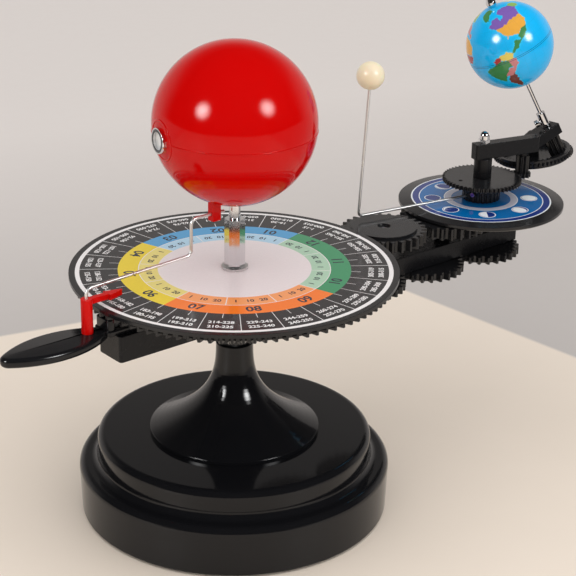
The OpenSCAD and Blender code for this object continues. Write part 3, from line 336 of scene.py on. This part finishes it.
def node_radius(node):
    low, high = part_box(node)
    return (high.x - low.x) / 2


def even_angles(breaks, step):
    """Sorted angles from 0 to 360 that hold the breaks and leave no gap over step."""
    marks = sorted({round(b % 360, 4) for b in breaks})
    angles = []
    for here, there in zip(marks, marks[1:] + [marks[0] + 360]):
        count = max(1, math.ceil((there - here) / step))
        angles += [here + (there - here) * i / count for i in range(count)]
    return angles


def polar_print(name, centre, bottom, top, radii, angles, pick, materials, body):
    """A flat printed ring: each cell of the polar grid takes the ink that pick names for its middle."""
    bm = bmesh.new()

    def ring(radius, z):
        return [bm.verts.new((centre.x + radius * math.cos(a), centre.y + radius * math.sin(a), z))
                for a in (math.radians(d) for d in angles)]

    rings = [ring(r, top) for r in radii]
    inner, outer = ring(radii[0], bottom), ring(radii[-1], bottom)
    count = len(angles)
    for i in range(count):
        j = (i + 1) % count
        middle = (angles[i] + (angles[j] if j else angles[0] + 360)) / 2
        for k in range(len(radii) - 1):
            cell = bm.faces.new((rings[k][i], rings[k + 1][i], rings[k + 1][j], rings[k][j]))
            cell.material_index = pick((radii[k] + radii[k + 1]) / 2, middle)
        bm.faces.new((rings[-1][i], outer[i], outer[j], rings[-1][j]))
        bm.faces.new((outer[i], inner[i], inner[j], outer[j]))
        bm.faces.new((inner[i], rings[0][i], rings[0][j], inner[j]))
    return finish_mesh(name, bm, materials, body, smooth=False)


def add_text(bm, text, height, pose, bold=0.0):
    """Adds raised figures to a bmesh, drawn at the origin and then put at pose."""
    curve = bpy.data.curves.new("figure", "FONT")
    curve.body = text
    curve.size = height
    curve.align_x = "CENTER"
    curve.align_y = "CENTER"
    curve.extrude = INK_RISE
    curve.offset = bold
    curve.resolution_u = 3
    writer = bpy.data.objects.new("figure", curve)
    mesh = bpy.data.meshes.new_from_object(writer)
    mesh.transform(pose)
    bm.from_mesh(mesh)
    bpy.data.objects.remove(writer)
    bpy.data.curves.remove(curve)
    bpy.data.meshes.remove(mesh)


def outward_pose(centre, radius, degrees, z):
    """Lying flat at a place on a dial, with the figure's foot outwards."""
    turn = Matrix.Rotation(math.radians(degrees + 90), 4, "Z")
    at = Vector((centre.x + radius * math.cos(math.radians(degrees)),
                 centre.y + radius * math.sin(math.radians(degrees)), z))
    return Matrix.Translation(at) @ turn


# Dial: a white rim, twenty-four sectors, four seasons of three months and a white middle

SECTORS = 24
SECTOR_START = 9.5
SEASON_START = 17.0
LINE_DEG = 0.28
RIM_OUT, RIM_IN = 98.1, 95.4
SECTOR_IN = 72.0
TICK_OUT = 78.0
SEASON_SPLIT = 59.5
SEASON_LINE = 0.5
SEASON_IN = 47.5
MIDDLE_RING = 30.0
WASHER_COVER = 0.8
ROW_H, DEGREES_R, DAYS_R = 4.6, 90.6, 84.4
MONTH_H, MONTH_R = 9.5, 65.6
DATE_H, DATE_R, DATE_STEP = 5, 53.3, 9
FIGURE_BOLD = 0.025


def season_inks():
    bands = {
        "blue": ((0.08, 0.36, 0.66), (0.46, 0.70, 0.86)),
        "yellow": ((0.85, 0.66, 0.03), (0.84, 0.73, 0.22)),
        "orange": ((0.95, 0.21, 0.02), (0.95, 0.37, 0.13)),
        "green": ((0.045, 0.30, 0.13), (0.44, 0.67, 0.49)),
    }
    inks = []
    for name, (dark, light) in bands.items():
        inks += [ink(f"{name}_band", dark), ink(f"{name}_months", light)]
    return inks


DIAL_INKS = [ink("dial_black", (0.024, 0.023, 0.024), 0.2), ink("dial_white", (0.88, 0.86, 0.85)),
             ink("dial_middle", (0.86, 0.8, 0.8), 0.08)] + season_inks()


def offset_in(angle, start, step):
    """How far an angle is past the last of the marks that start at start, every step degrees."""
    return (angle - start) % step


def dial_ink(radius, angle):
    radius /= MM
    sector = offset_in(angle + LINE_DEG / 2, SECTOR_START, 360 / SECTORS)
    tick = offset_in(angle + LINE_DEG / 2, SEASON_START, 360 / SECTORS)
    if radius > RIM_OUT:
        return 0
    if radius > RIM_IN:
        return 1
    if radius > SECTOR_IN:
        return 1 if sector < LINE_DEG or (tick < LINE_DEG and radius < TICK_OUT) else 0
    if radius > SEASON_IN:
        season = int(offset_in(angle, SEASON_START, 360) // 90)
        month = offset_in(angle + LINE_DEG, SEASON_START, 30)
        if radius > SEASON_SPLIT:
            return 3 + 2 * season
        edge = radius > SEASON_SPLIT - SEASON_LINE
        return 1 if edge or month < 2 * LINE_DEG else 4 + 2 * season
    return 2


def make_dial():
    low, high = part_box("dial_face")
    centre = node_centre("dial_face")
    hole = node_radius("post_washer") * WASHER_COVER
    edges = [RIM_OUT, RIM_IN, SECTOR_IN, TICK_OUT, SEASON_SPLIT, SEASON_SPLIT - SEASON_LINE, SEASON_IN,
             MIDDLE_RING]
    radii = sorted([hole, (high.x - low.x) / 2] + [r * MM for r in edges])
    marks = []
    for i in range(SECTORS):
        marks += [SECTOR_START + i * 15 + side * LINE_DEG / 2 for side in (-1, 1)]
        marks += [SEASON_START + i * 15 + side * LINE_DEG / 2 for side in (-1, 1)]
    for i in range(12):
        marks += [SEASON_START + i * 30 + side * LINE_DEG for side in (-1, 1)]
    marks += [SEASON_START + 90 * i for i in range(4)]
    dial = polar_print("dial_print", centre, low.z, high.z, radii, even_angles(marks, 2.5), dial_ink,
                       DIAL_INKS, "base")
    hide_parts("dial_face")
    make_dial_figures(centre, high.z)


def make_dial_figures(centre, top):
    """Plain numbers: degrees and days of the year on black, months and tens of days on the seasons."""
    white, dark = bmesh.new(), bmesh.new()

    def put(bm, text, height, radius, middle):
        pose = outward_pose(centre, radius * MM, middle, top)
        add_text(bm, text, height * MM, pose, FIGURE_BOLD * height * MM)

    for i in range(SECTORS):
        middle = SECTOR_START + 7.5 + 15 * i
        first, last = round(365 / SECTORS * i) + 1, round(365 / SECTORS * (i + 1))
        put(white, f"{15 * i:03d}-{15 * (i + 1):03d}", ROW_H, DEGREES_R, middle)
        put(white, f"{first}-{last}", ROW_H, DAYS_R, middle)
    for month in range(12):
        middle = SEASON_START + 15 + 30 * month
        put(dark, f"{month + 1:02d}", MONTH_H, MONTH_R, middle)
        for step, day in enumerate((1, 10, 20)):
            put(dark, f"{day}", DATE_H, DATE_R, middle + DATE_STEP * (step - 1))
    for name, bm, colour in (("dial_numbers_white", white, (0.88, 0.87, 0.86)),
                             ("dial_numbers_dark", dark, (0.02, 0.03, 0.05))):
        piece = finish_mesh(name, bm, [ink(name, colour)], "base", smooth=False)


# Moon disc: blue rings and eight phases

PHASES = 8
PHASE_START = -38.0
PHASE_R = 33.5
ICON_R = 5.2
ICON_RIM, ICON_LIT = 1.12, 0.95
NEARLY_NEW = 0.95
PHASE_HOLE = 6.0
PHASE_RINGS = ((47.4, 0), (43.0, 1), (42.4, 0), (25.6, 2), (25.0, 0), (20.5, 3))
PHASE_INKS = [ink("phase_white", (0.86, 0.88, 0.9)), ink("phase_navy", (0.012, 0.035, 0.2)),
              ink("phase_blue", (0.002, 0.13, 0.38)), ink("phase_lilac", (0.52, 0.53, 0.62))]


def phase_ink(radius, angle):
    radius /= MM
    for limit, choice in PHASE_RINGS:
        if radius > limit:
            return choice
    return 2


def make_phase_face():
    low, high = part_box("moon_phase_face")
    centre = node_centre("moon_phase_face")
    radii = sorted([PHASE_HOLE * MM, (high.x - low.x) / 2] + [r * MM for r, _ in PHASE_RINGS])
    face = polar_print("phase_print", centre, low.z, high.z, radii, even_angles([0], 3), phase_ink,
                       PHASE_INKS, "arm")
    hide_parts("moon_phase_face")
    icons = bmesh.new()
    for i in range(PHASES):
        pose = outward_pose(centre, PHASE_R * MM, PHASE_START + 360 / PHASES * i, high.z)
        add_phase(icons, TAU * (i / PHASES + 0.5), pose)
    piece = finish_mesh("phase_icons", icons, PHASE_INKS, "arm", smooth=False)


def add_phase(bm, age, pose):
    """One small Moon: a white rim, a navy disc and the lit part between the limb and the terminator."""
    turn = 20
    limb = [(-math.cos(math.pi * i / turn), math.sin(math.pi * i / turn)) for i in range(turn + 1)]
    lit = -1 if math.sin(age) >= 0 else 1
    bend = math.cos(age)
    disc = limb + [(-x, -y) for x, y in limb[1:-1]]
    bright = [(lit * y, x) for x, y in limb] + [(lit * bend * y, -x) for x, y in limb[1:-1]]
    layers = [(1, disc, 0, ICON_RIM), (2, disc, 1, 1.0)]
    if bend < NEARLY_NEW:
        layers.append((3, bright, 0, ICON_LIT))
    for level, outline, choice, share in layers:
        reach = ICON_R * MM * share
        slab = []
        for z in (0, level * INK_RISE):
            slab.append([bm.verts.new(pose @ Vector((x * reach, y * reach, z))) for x, y in outline])
        top = bm.faces.new(slab[1])
        top.material_index = choice
        bm.faces.new(reversed(slab[0])).material_index = choice
        for i in range(len(outline)):
            j = (i + 1) % len(outline)
            side = bm.faces.new((slab[0][i], slab[0][j], slab[1][j], slab[1][i]))
            side.material_index = choice


# Globe: a coarse map, as the photograph shows it, with east to the left

LAND_COLOURS = {
    "purple": (0.22, 0.12, 0.46), "orange": (0.85, 0.42, 0.06), "green": (0.06, 0.26, 0.08),
    "lime": (0.28, 0.5, 0.12), "red": (0.45, 0.05, 0.05), "yellow": (0.78, 0.62, 0.12),
    "pink": (0.62, 0.22, 0.22), "brown": (0.2, 0.06, 0.04), "white": (0.8, 0.82, 0.82),
}
OCEAN = (0.006, 0.49, 0.96)
SHALLOWS = (0.03, 0.6, 0.96)
LANDS = [
    ("lime", [(-168, 66), (-156, 71), (-141, 70), (-141, 60), (-152, 58), (-165, 60)]),
    ("purple", [(-141, 70), (-120, 74), (-90, 74), (-80, 68), (-94, 60), (-82, 54), (-78, 62), (-65, 60),
                (-54, 50), (-66, 45), (-82, 44), (-95, 49), (-124, 49), (-135, 58), (-141, 60)]),
    ("green", [(-55, 60), (-44, 60), (-22, 70), (-18, 80), (-35, 83), (-60, 80), (-68, 77), (-54, 70)]),
    ("orange", [(-124, 49), (-95, 49), (-82, 44), (-67, 45), (-76, 36), (-81, 31), (-80, 25), (-84, 30),
                (-97, 27), (-106, 31), (-117, 32), (-124, 41)]),
    ("green", [(-117, 32), (-106, 31), (-97, 26), (-97, 20), (-88, 21), (-84, 14), (-78, 8), (-84, 9),
               (-95, 16), (-106, 21)]),
    ("yellow", [(-79, 8), (-72, 12), (-60, 9), (-61, 4), (-70, 1), (-78, 1)]),
    ("red", [(-60, 9), (-51, 5), (-51, 0), (-61, 2)]),
    ("green", [(-70, 1), (-61, 3), (-50, 0), (-35, -6), (-39, -16), (-48, -26), (-54, -30), (-58, -20),
               (-65, -11), (-72, -8)]),
    ("pink", [(-79, 1), (-70, 1), (-72, -9), (-62, -13), (-58, -20), (-66, -22), (-71, -18), (-77, -12),
              (-81, -5)]),
    ("brown", [(-71, -18), (-62, -22), (-57, -33), (-64, -42), (-69, -54), (-74, -50), (-73, -36)]),
    ("orange", [(-16, 28), (-6, 36), (11, 37), (32, 31), (37, 22), (24, 16), (-16, 16)]),
    ("red", [(-17, 15), (12, 15), (12, 5), (-8, 4), (-14, 9)]),
    ("orange", [(12, 15), (36, 20), (43, 11), (51, 11), (40, -3), (30, -6), (10, -2), (10, 5)]),
    ("purple", [(11, -3), (30, -6), (40, -4), (40, -15), (33, -26), (26, -34), (18, -34), (12, -18)]),
    ("red", [(44, -25), (47, -25), (50, -15), (45, -16)]),
    ("pink", [(-9, 37), (-9, 43), (-1, 44), (2, 51), (12, 54), (24, 55), (30, 46), (26, 38), (15, 41),
              (3, 42)]),
    ("lime", [(5, 60), (15, 69), (28, 71), (30, 60), (18, 58), (10, 58)]),
    ("yellow", [(30, 70), (70, 73), (105, 77), (140, 73), (178, 69), (160, 60), (135, 54), (115, 50),
                (85, 50), (60, 52), (48, 45), (30, 47), (25, 56)]),
    ("orange", [(50, 45), (85, 49), (80, 36), (60, 37)]),
    ("green", [(34, 37), (60, 38), (60, 25), (52, 17), (43, 13), (36, 27)]),
    ("red", [(75, 40), (88, 49), (118, 50), (134, 48), (122, 32), (118, 23), (108, 21), (97, 28), (80, 31)]),
    ("purple", [(62, 25), (75, 34), (92, 27), (88, 21), (80, 12), (77, 8), (73, 18)]),
    ("lime", [(93, 22), (108, 21), (109, 11), (104, 2), (99, 9)]),
    ("pink", [(130, 31), (141, 41), (145, 44), (140, 35)]),
    ("orange", [(96, 5), (106, -6), (116, -8), (119, 2), (109, 6), (104, -2)]),
    ("green", [(131, -1), (150, -6), (147, -9), (138, -8)]),
    ("orange", [(114, -22), (130, -12), (142, -11), (153, -27), (149, -37), (138, -35), (129, -32),
                (116, -34)]),
    ("lime", [(167, -46), (174, -40), (178, -38), (172, -44)]),
]
ICE_EDGE = -68
MAP_STEP = 1.0
COAST_BLUR = 9
SHALLOWS_REACH = 2.2
PRIME_TURN = 94.0


def inside(outline, lon, lat):
    """Which grid points lie within an outline."""
    hit = np.zeros(lon.shape, bool)
    for (x0, y0), (x1, y1) in zip(outline, outline[1:] + outline[:1]):
        if y0 == y1:
            continue
        spans = (lat >= min(y0, y1)) & (lat < max(y0, y1))
        hit ^= spans & (lon < x0 + (lat - y0) * (x1 - x0) / (y1 - y0))
    return hit


def map_colours(lon, lat):
    land = np.zeros(lon.shape, bool)
    colour = np.zeros(lon.shape + (3,))
    ragged = 0.7 * np.sin(lon * 0.6 + 2 * np.sin(lat * 0.4)) + 0.5 * np.sin(lat * 0.9 + lon * 0.37)
    for name, outline in LANDS:
        hit = inside(outline, lon + ragged, lat + 0.7 * ragged) & ~land
        colour[hit] = LAND_COLOURS[name]
        land |= hit
    ice = lat < ICE_EDGE + 2 * ragged
    colour[ice] = LAND_COLOURS["white"]
    land |= ice
    shore = land.astype(float)
    for _ in range(COAST_BLUR):
        rows = np.vstack((shore[:1], shore[:-1])) + np.vstack((shore[1:], shore[-1:]))
        shore = (np.roll(shore, 1, 1) + np.roll(shore, -1, 1) + rows) / 4
    glow = np.clip(shore * SHALLOWS_REACH, 0, 1)[..., None]
    sea = np.array(OCEAN) * (1 - glow) + np.array(SHALLOWS) * glow
    return np.where(land[..., None], colour, sea)


def earth_pose():
    """Frame of the globe: its centre, with +Z along the Earth's axis, and its radius."""
    joint = next(j for j in frame["joints"] if j["name"] == "earth_spin")
    axis = Vector(joint["axis"]).normalized()
    north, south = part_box("globe_north"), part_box("globe_south")
    low = Vector(map(min, north[0], south[0]))
    high = Vector(map(max, north[1], south[1]))
    side = axis.cross(Vector((0, 0, 1))).normalized()
    pose = Matrix((side, axis.cross(side), axis)).transposed().to_4x4()
    pose.translation = (low + high) / 2
    return pose, (high.x - low.x) / 2


def make_globe():
    """One closed ball whose corners carry the map's colours and their place on it."""
    pose, radius = earth_pose()
    lats = np.arange(MAP_STEP - 90, 90, MAP_STEP)
    lons = np.arange(-180, 180, MAP_STEP)
    lon, lat = np.meshgrid(lons, lats)
    colours = map_colours(lon, lat)
    bm = bmesh.new()
    paint = bm.loops.layers.float_color.new("map")
    degrees = bm.loops.layers.uv.new("degrees")
    grid = [[bm.verts.new(pose @ globe_point(radius, lo, la)) for lo in lons] for la in lats]
    columns, rows = len(lons), len(lats)

    def add_face(corners, verts):
        face = bm.faces.new(verts)
        last = max(b for _, b in corners) == columns - 1
        for loop, (a, b) in zip(face.loops, corners):
            loop[paint] = (*colours[a][b], 1.0)
            past = 360 if b == 0 and last else 0
            loop[degrees].uv = ((lons[b] + past + 180) / 360, (lats[a] + 90) / 180)

    for j in range(columns):
        k = (j + 1) % columns
        for i in range(rows - 1):
            corners = ((i, k), (i, j), (i + 1, j), (i + 1, k))
            add_face(corners, [grid[a][b] for a, b in corners])
    for row, pole in ((0, -90), (rows - 1, 90)):
        tip = bm.verts.new(pose @ globe_point(radius, 0, pole))
        for j in range(columns):
            k = (j + 1) % columns
            corners = ((row, j), (row, k), (row, k)) if pole < 0 else ((row, k), (row, j), (row, j))
            add_face(corners, [grid[row][corners[0][1]], grid[row][corners[1][1]], tip])
    piece = finish_mesh("globe_map", bm, [MAP], "earth")
    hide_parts("globe_north", "globe_south")


def globe_point(radius, lon, lat):
    """A point of the map in the globe's frame. East runs to the left, as in the photograph."""
    turn = math.radians(PRIME_TURN - lon)
    flat = radius * math.cos(math.radians(lat))
    return Vector((flat * math.cos(turn), flat * math.sin(turn), radius * math.sin(math.radians(lat))))


# Handle: a leaf with rounded edges and a tongue that lies on the arm

HANDLE_LEN = 78 * MM
LEAF_TIP_R = 5.5 * MM
LEAF_EDGE = 2.4 * MM
TONGUE_W = 16 * MM
TONGUE_ROOT = 6 * MM
TONGUE_CORNER = 3 * MM
TONGUE_EDGE = 0.7 * MM
TONGUE_T = 3.4 * MM
GUIDE_INSET = 1 * MM
GUIDE_LEN = 5.8 * MM
EDGE_STEPS = 6


def arc(centre, radius, start, end, count):
    """Points of an arc in the plane, each with its outward direction."""
    turns = (start + (end - start) * i / count for i in range(count + 1))
    ways = [Vector((math.cos(t), math.sin(t))) for t in turns]
    return [(Vector(centre) + radius * way, way) for way in ways]


def add_slab(bm, outline, low, high, edge):
    """A flat closed solid over an outline, its upper and lower edges rounded."""
    turns = [math.pi / 2 * i / EDGE_STEPS for i in range(EDGE_STEPS + 1)]
    under = [(edge * (1 - math.sin(t)), low + edge * (1 - math.cos(t))) for t in turns]
    levels = under + [(inset, high + low - z) for inset, z in reversed(under)]
    rings = [[bm.verts.new((*(at - inset * way), z)) for at, way in outline] for inset, z in levels]
    for here, there in zip(rings, rings[1:]):
        for i in range(len(outline)):
            j = (i + 1) % len(outline)
            bm.faces.new((here[i], here[j], there[j], there[i]))
    bm.faces.new(reversed(rings[0]))
    bm.faces.new(rings[-1])


def leaf_outline(tip, root, width):
    """Two shallow arcs that meet in a round tip, cut straight where the leaf meets the arm."""
    side_r = (HANDLE_LEN ** 2 + width ** 2) / (4 * width)
    drop = side_r - width / 2
    reach = math.sqrt((side_r - LEAF_TIP_R) ** 2 - drop ** 2)
    middle = tip + reach + LEAF_TIP_R
    join = math.atan2(drop, -reach)
    end = math.acos((root - middle) / side_r)
    upper = arc((middle, -drop), side_r, end, join, 24)
    upper += arc((middle - reach, 0), LEAF_TIP_R, join, math.pi, 10)[1:]
    upper[0] = (upper[0][0], Vector((0, 1)))
    lower = [(Vector((at.x, -at.y)), Vector((way.x, -way.y))) for at, way in reversed(upper[:-1])]
    return upper + lower


def box_outline(low, high, corner):
    """A rectangle with round corners."""
    outline = []
    for quarter, (x, y) in enumerate(((high.x, high.y), (low.x, high.y), (low.x, low.y), (high.x, low.y))):
        centre = (x - math.copysign(corner, x - (low.x + high.x) / 2),
                  y - math.copysign(corner, y - (low.y + high.y) / 2))
        outline += arc(centre, corner, quarter * math.pi / 2, (quarter + 1) * math.pi / 2, 5)
    return outline


def make_handle():
    """The leaf, its tongue on the arm and the low guide block that stands on it under the dial."""
    low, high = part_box("handle")
    head_low, head_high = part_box("arm_head")
    top = head_high.z + TONGUE_T
    root = head_low.x - TONGUE_ROOT
    half = TONGUE_W / 2
    bm = bmesh.new()
    add_slab(bm, leaf_outline(low.x, head_low.x, high.y - low.y), low.z, top, LEAF_EDGE)
    tongue = box_outline(Vector((root, -half)), Vector((high.x, half)), TONGUE_CORNER)
    add_slab(bm, tongue, head_high.z, top, TONGUE_EDGE)
    start = Vector((root + GUIDE_INSET, GUIDE_INSET - half))
    guide = box_outline(start, Vector((start.x + GUIDE_LEN, half - GUIDE_INSET)), TONGUE_CORNER * 0.8)
    add_slab(bm, guide, top - GUIDE_INSET, high.z, TONGUE_EDGE)
    piece = finish_mesh("handle_leaf", bm, [HANDLE_BLACK], "arm", sharp=50)
    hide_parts("handle")


# Sun: a seam bead between the shells, a raised ring about the lamp and a dark ring in its bezel, painted
# shade where its groove lies

SEAM_BEAD = (0.45 * MM, 0.3 * MM)
LAMP_RING_R = 12 * MM
LAMP_RING_BEAD = (0.8 * MM, 0.4 * MM)
GROOVE = (0.9 * MM, 0.25 * MM)
BEAD_SIDES = 10


def add_bead(bm, path, middle, half, closed):
    """A bead of oval section along a path, its flat side towards the middle point."""
    width, height = half
    count = len(path)
    rings = []
    for i, at in enumerate(path):
        if closed:
            along = path[(i + 1) % count] - path[i - 1]
        else:
            along = path[min(i + 1, count - 1)] - path[max(i - 1, 0)]
        out = (at - middle).normalized()
        side = out.cross(along).normalized()
        turns = [TAU * k / BEAD_SIDES for k in range(BEAD_SIDES)]
        rings.append([bm.verts.new(at + width * math.cos(t) * side + height * math.sin(t) * out)
                      for t in turns])
    pairs = list(zip(rings, rings[1:])) + ([(rings[-1], rings[0])] if closed else [])
    for here, there in pairs:
        for k in range(BEAD_SIDES):
            m = (k + 1) % BEAD_SIDES
            bm.faces.new((here[k], here[m], there[m], there[k]))
    if not closed:
        bm.faces.new(rings[0])
        bm.faces.new(reversed(rings[-1]))


def make_sun_trim():
    low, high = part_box("sun_upper_shell")
    radius = (high.x - low.x) / 2
    seam = low.z
    middle = Vector(((low.x + high.x) / 2, (low.y + high.y) / 2, high.z - radius))
    bezel = node_centre("lamp_bezel")
    out = Vector((bezel.x - middle.x, bezel.y - middle.y, 0)).normalized()
    side = out.cross(Vector((0, 0, 1)))
    lamp = Vector((middle.x, middle.y, bezel.z))

    def about_lamp(reach, turn):
        across = lamp + reach * (math.cos(turn) * side + math.sin(turn) * Vector((0, 0, 1)))
        gap = across - middle
        return across + out * math.sqrt(radius ** 2 - gap.length_squared)

    clear = math.asin((LAMP_RING_R + LAMP_RING_BEAD[0]) / radius)
    start = math.atan2(out.y, out.x)
    flat = math.sqrt(radius ** 2 - (seam - middle.z) ** 2)
    turns = [start + clear + (TAU - 2 * clear) * i / 240 for i in range(241)]
    bm = bmesh.new()
    seam_path = [Vector((middle.x + flat * math.cos(t), middle.y + flat * math.sin(t), seam)) for t in turns]
    add_bead(bm, seam_path, middle, SEAM_BEAD, False)
    add_bead(bm, [about_lamp(LAMP_RING_R, TAU * i / 96) for i in range(96)], middle, LAMP_RING_BEAD, True)
    trim = finish_mesh("sun_trim", bm, [RED_GLOSS], "sun", sharp=80)

    face = max((lamp - v).dot(-out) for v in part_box("lamp_bezel"))
    lens_low, lens_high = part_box("lamp_lens")
    rim = (lens_high.z - lens_low.z) / 2
    # painted shade: a dark metal ring where the groove about the lens lies in shade
    groove = bmesh.new()
    path = [lamp + out * face + (rim + GROOVE[0] / 2) * (math.cos(t) * side + math.sin(t) * Vector((0, 0, 1)))
            for t in (TAU * i / 72 for i in range(72))]
    add_bead(groove, path, lamp - out, GROOVE, True)
    piece = finish_mesh("bezel_groove", groove, [CHROME_PAINTED_SHADE], "sun", sharp=80)


# Materials of the solids that show as they are

FINISHES = {
    "base_shell": GLOSS_BLACK, "pedestal_column": GLOSS_BLACK, "sun_upper_shell": RED_GLOSS,
    "sun_lower_shell": RED_GLOSS, "pointer": RED_SATIN, "bottom_cover": DARK_PLASTIC,
    "battery_holder": DARK_PLASTIC, "lamp_switch": DARK_PLASTIC, "foot_pad": PAD_FOAM, "lamp_lens": LENS,
    "batteries": CELL_WRAP, "moon_ball": IVORY, "hex_post": CHROME_UP, "sun_pin": CHROME_UP,
    "post_washer": STEEL, "link_wire": WIRE, "moon_wire": WIRE, "moon_set_screw": CHROME, "acorn_nut": CHROME,
    "axis_rod": CHROME, "axis_collar": CHROME, "thumb_screw": CHROME, "globe_finial": CHROME,
    "lamp_bezel": CHROME, "lamp_reflector": CHROME, "spindle": ZINC, "spindle_nut": ZINC, "arm_screws": ZINC,
    "gear_axles": ZINC, "earth_shaft": ZINC, "bracket_axles": ZINC, "cover_screws_set": ZINC,
    "arm_bush": BRASS, "shaft_bush": BRASS,
}
GEARS = ("dial_plate", "moon_disc", "column_nut", "fixed_center_gear", "gear_a", "gear_b", "gear_c", "gear_d",
         "idler_1", "idler_2", "moon_pinion", "moon_drum", "moon_gear", "step_pinion", "ring_gear",
         "earth_pinion")
FINISHES.update({name: GEAR_BLACK for name in GEARS})


def dress_solids():
    for name, solid in nodes.items():
        solid.data.materials.clear()
        solid.data.materials.append(FINISHES.get(name, SATIN_BLACK))


# Stage: a pale table, a pale wall ahead of the camera, a broad soft light above it and two round lamps

ROOM_TINT = (1.0, 0.93, 0.885)
ROOM_AHEAD = ((0.0, 0.66), (0.17, 0.58), (0.36, 0.46), (0.52, 0.16), (0.7, 0.03))
ROOM_DARK = (0.018, 0.018, 0.02, 1)
ROOM_FACING = (0.1, 0.6)
SOFT_ALL_ROUND = 0.68
SOFT_ABOVE = 0.75
SOFT_FROM = {"right": 0.4, "back": 0.6, "up": 0.76}
LAMPS = (("lamp_left", -0.669, 0.167, 230), ("lamp_right", 0.707, 0.248, 190))
LAMP_REACH = 3.0
LAMP_SIZE = 1.5
FLOOR_HALF = 6
FLAT_GLOSS = GEARS + ("base_shell", "dial_print", "dial_numbers_white", "dial_numbers_dark", "phase_print",
                      "phase_icons", "post_washer")


def make_stage():
    bm = bmesh.new()
    bmesh.ops.create_grid(bm, x_segments=1, y_segments=1, size=FLOOR_HALF)
    mesh = bpy.data.meshes.new("floor")
    bm.to_mesh(mesh)
    bm.free()
    mesh.materials.append(floor_skin("floor_pale"))
    floor = bpy.data.objects.new("floor", mesh)
    bpy.context.scene.collection.objects.link(floor)


def place_lamp(name, data, place, target):
    lamp = bpy.data.objects.new(name, data)
    bpy.context.scene.collection.objects.link(lamp)
    aim = (target - place).to_track_quat("-Z", "Y").to_matrix().to_4x4()
    lamp.matrix_world = Matrix.Translation(place) @ aim
    return lamp


def shaded_from_lamps():
    """The flat glossy tops, which would mirror a whole lamp at the views from behind."""
    flags = bpy.data.collections.new("shaded_from_lamps")
    for name in FLAT_GLOSS:
        flags.objects.link(bpy.data.objects[name])
    for row in flags.collection_objects:
        row.light_linking.link_state = "EXCLUDE"
    return flags


def round_lamp(name, place, target, power, flags):
    """A round soft lamp that fades towards its rim, with some pieces shaded from it."""
    data = bpy.data.lights.new(name, "AREA")
    data.shape = "DISK"
    data.size = LAMP_SIZE
    data.energy = power
    data.use_nodes = True
    t = Tree(data.node_tree)
    uv = t.add("ShaderNodeNewGeometry").outputs["Parametric"]
    from_middle = t.add("ShaderNodeVectorMath", {0: uv, 1: (0.5, 0.5, 0)}, operation="DISTANCE")
    fade = t.span(from_middle.outputs["Value"], 1.0, 0.0, 0.0, 0.5, "SMOOTHSTEP")
    t.feed(data.node_tree.nodes["Emission"].inputs["Strength"], fade)
    lamp = place_lamp(name, data, place, target)
    lamp.visible_diffuse = False
    lamp.light_linking.receiver_collection = flags


def make_light():
    sun = node_centre("sun_upper_shell")
    flags = shaded_from_lamps()
    right = CAMERA_FORWARD.cross(Vector((0, 0, 1))).normalized()
    up = right.cross(CAMERA_FORWARD)
    for name, across, rise, power in LAMPS:
        toward = math.sqrt(1 - across ** 2 - rise ** 2)
        way = right * across + up * rise - CAMERA_FORWARD * toward
        round_lamp(name, sun + way * LAMP_REACH, sun, power, flags)


def make_room():
    """Soft light by direction, and what gloss shows: a pale wall ahead of the camera in a dark room."""
    world = bpy.data.worlds.new("world")
    world.use_nodes = True
    t = Tree(world.node_tree)
    way = t.add("ShaderNodeTexCoord").outputs["Generated"]
    height = t.add("ShaderNodeSeparateXYZ", {"Vector": way}).outputs["Z"]
    ramp = t.add("ShaderNodeValToRGB", {"Fac": height})
    stops = ramp.color_ramp.elements
    while len(stops) < len(ROOM_AHEAD):
        stops.new(1.0)
    for stop, (place, level) in zip(stops, ROOM_AHEAD):
        stop.position = place
        stop.color = shade(ROOM_TINT, level)
    ahead = Vector((CAMERA_FORWARD.x, CAMERA_FORWARD.y, 0)).normalized()
    facing = t.span(t.along(way, ahead), 0.0, 1.0, *ROOM_FACING, "SMOOTHSTEP")
    room = t.blend(facing, ROOM_DARK, ramp.outputs["Color"])
    right = ahead.cross(Vector((0, 0, 1)))
    above = SOFT_FROM["right"] * right - SOFT_FROM["back"] * ahead + Vector((0, 0, SOFT_FROM["up"]))
    above.normalize()
    level = t.span(t.along(way, above), SOFT_ALL_ROUND, SOFT_ALL_ROUND + SOFT_ABOVE, 0.0, 1.0)
    path = t.add("ShaderNodeLightPath").outputs
    mirrored = t.math("MAXIMUM", path["Is Glossy Ray"], path["Is Transmission Ray"])
    lit = t.blend(mirrored, level, room)
    background = world.node_tree.nodes["Background"]
    t.feed(background.inputs["Color"], t.blend(path["Is Camera Ray"], lit, WALL))
    bpy.context.scene.world = world


make_camera()
dress_solids()
make_dial()
make_phase_face()
make_globe()
make_handle()
make_sun_trim()
make_stage()
make_light()
make_room()
bpy.context.scene.view_settings.view_transform = "Standard"
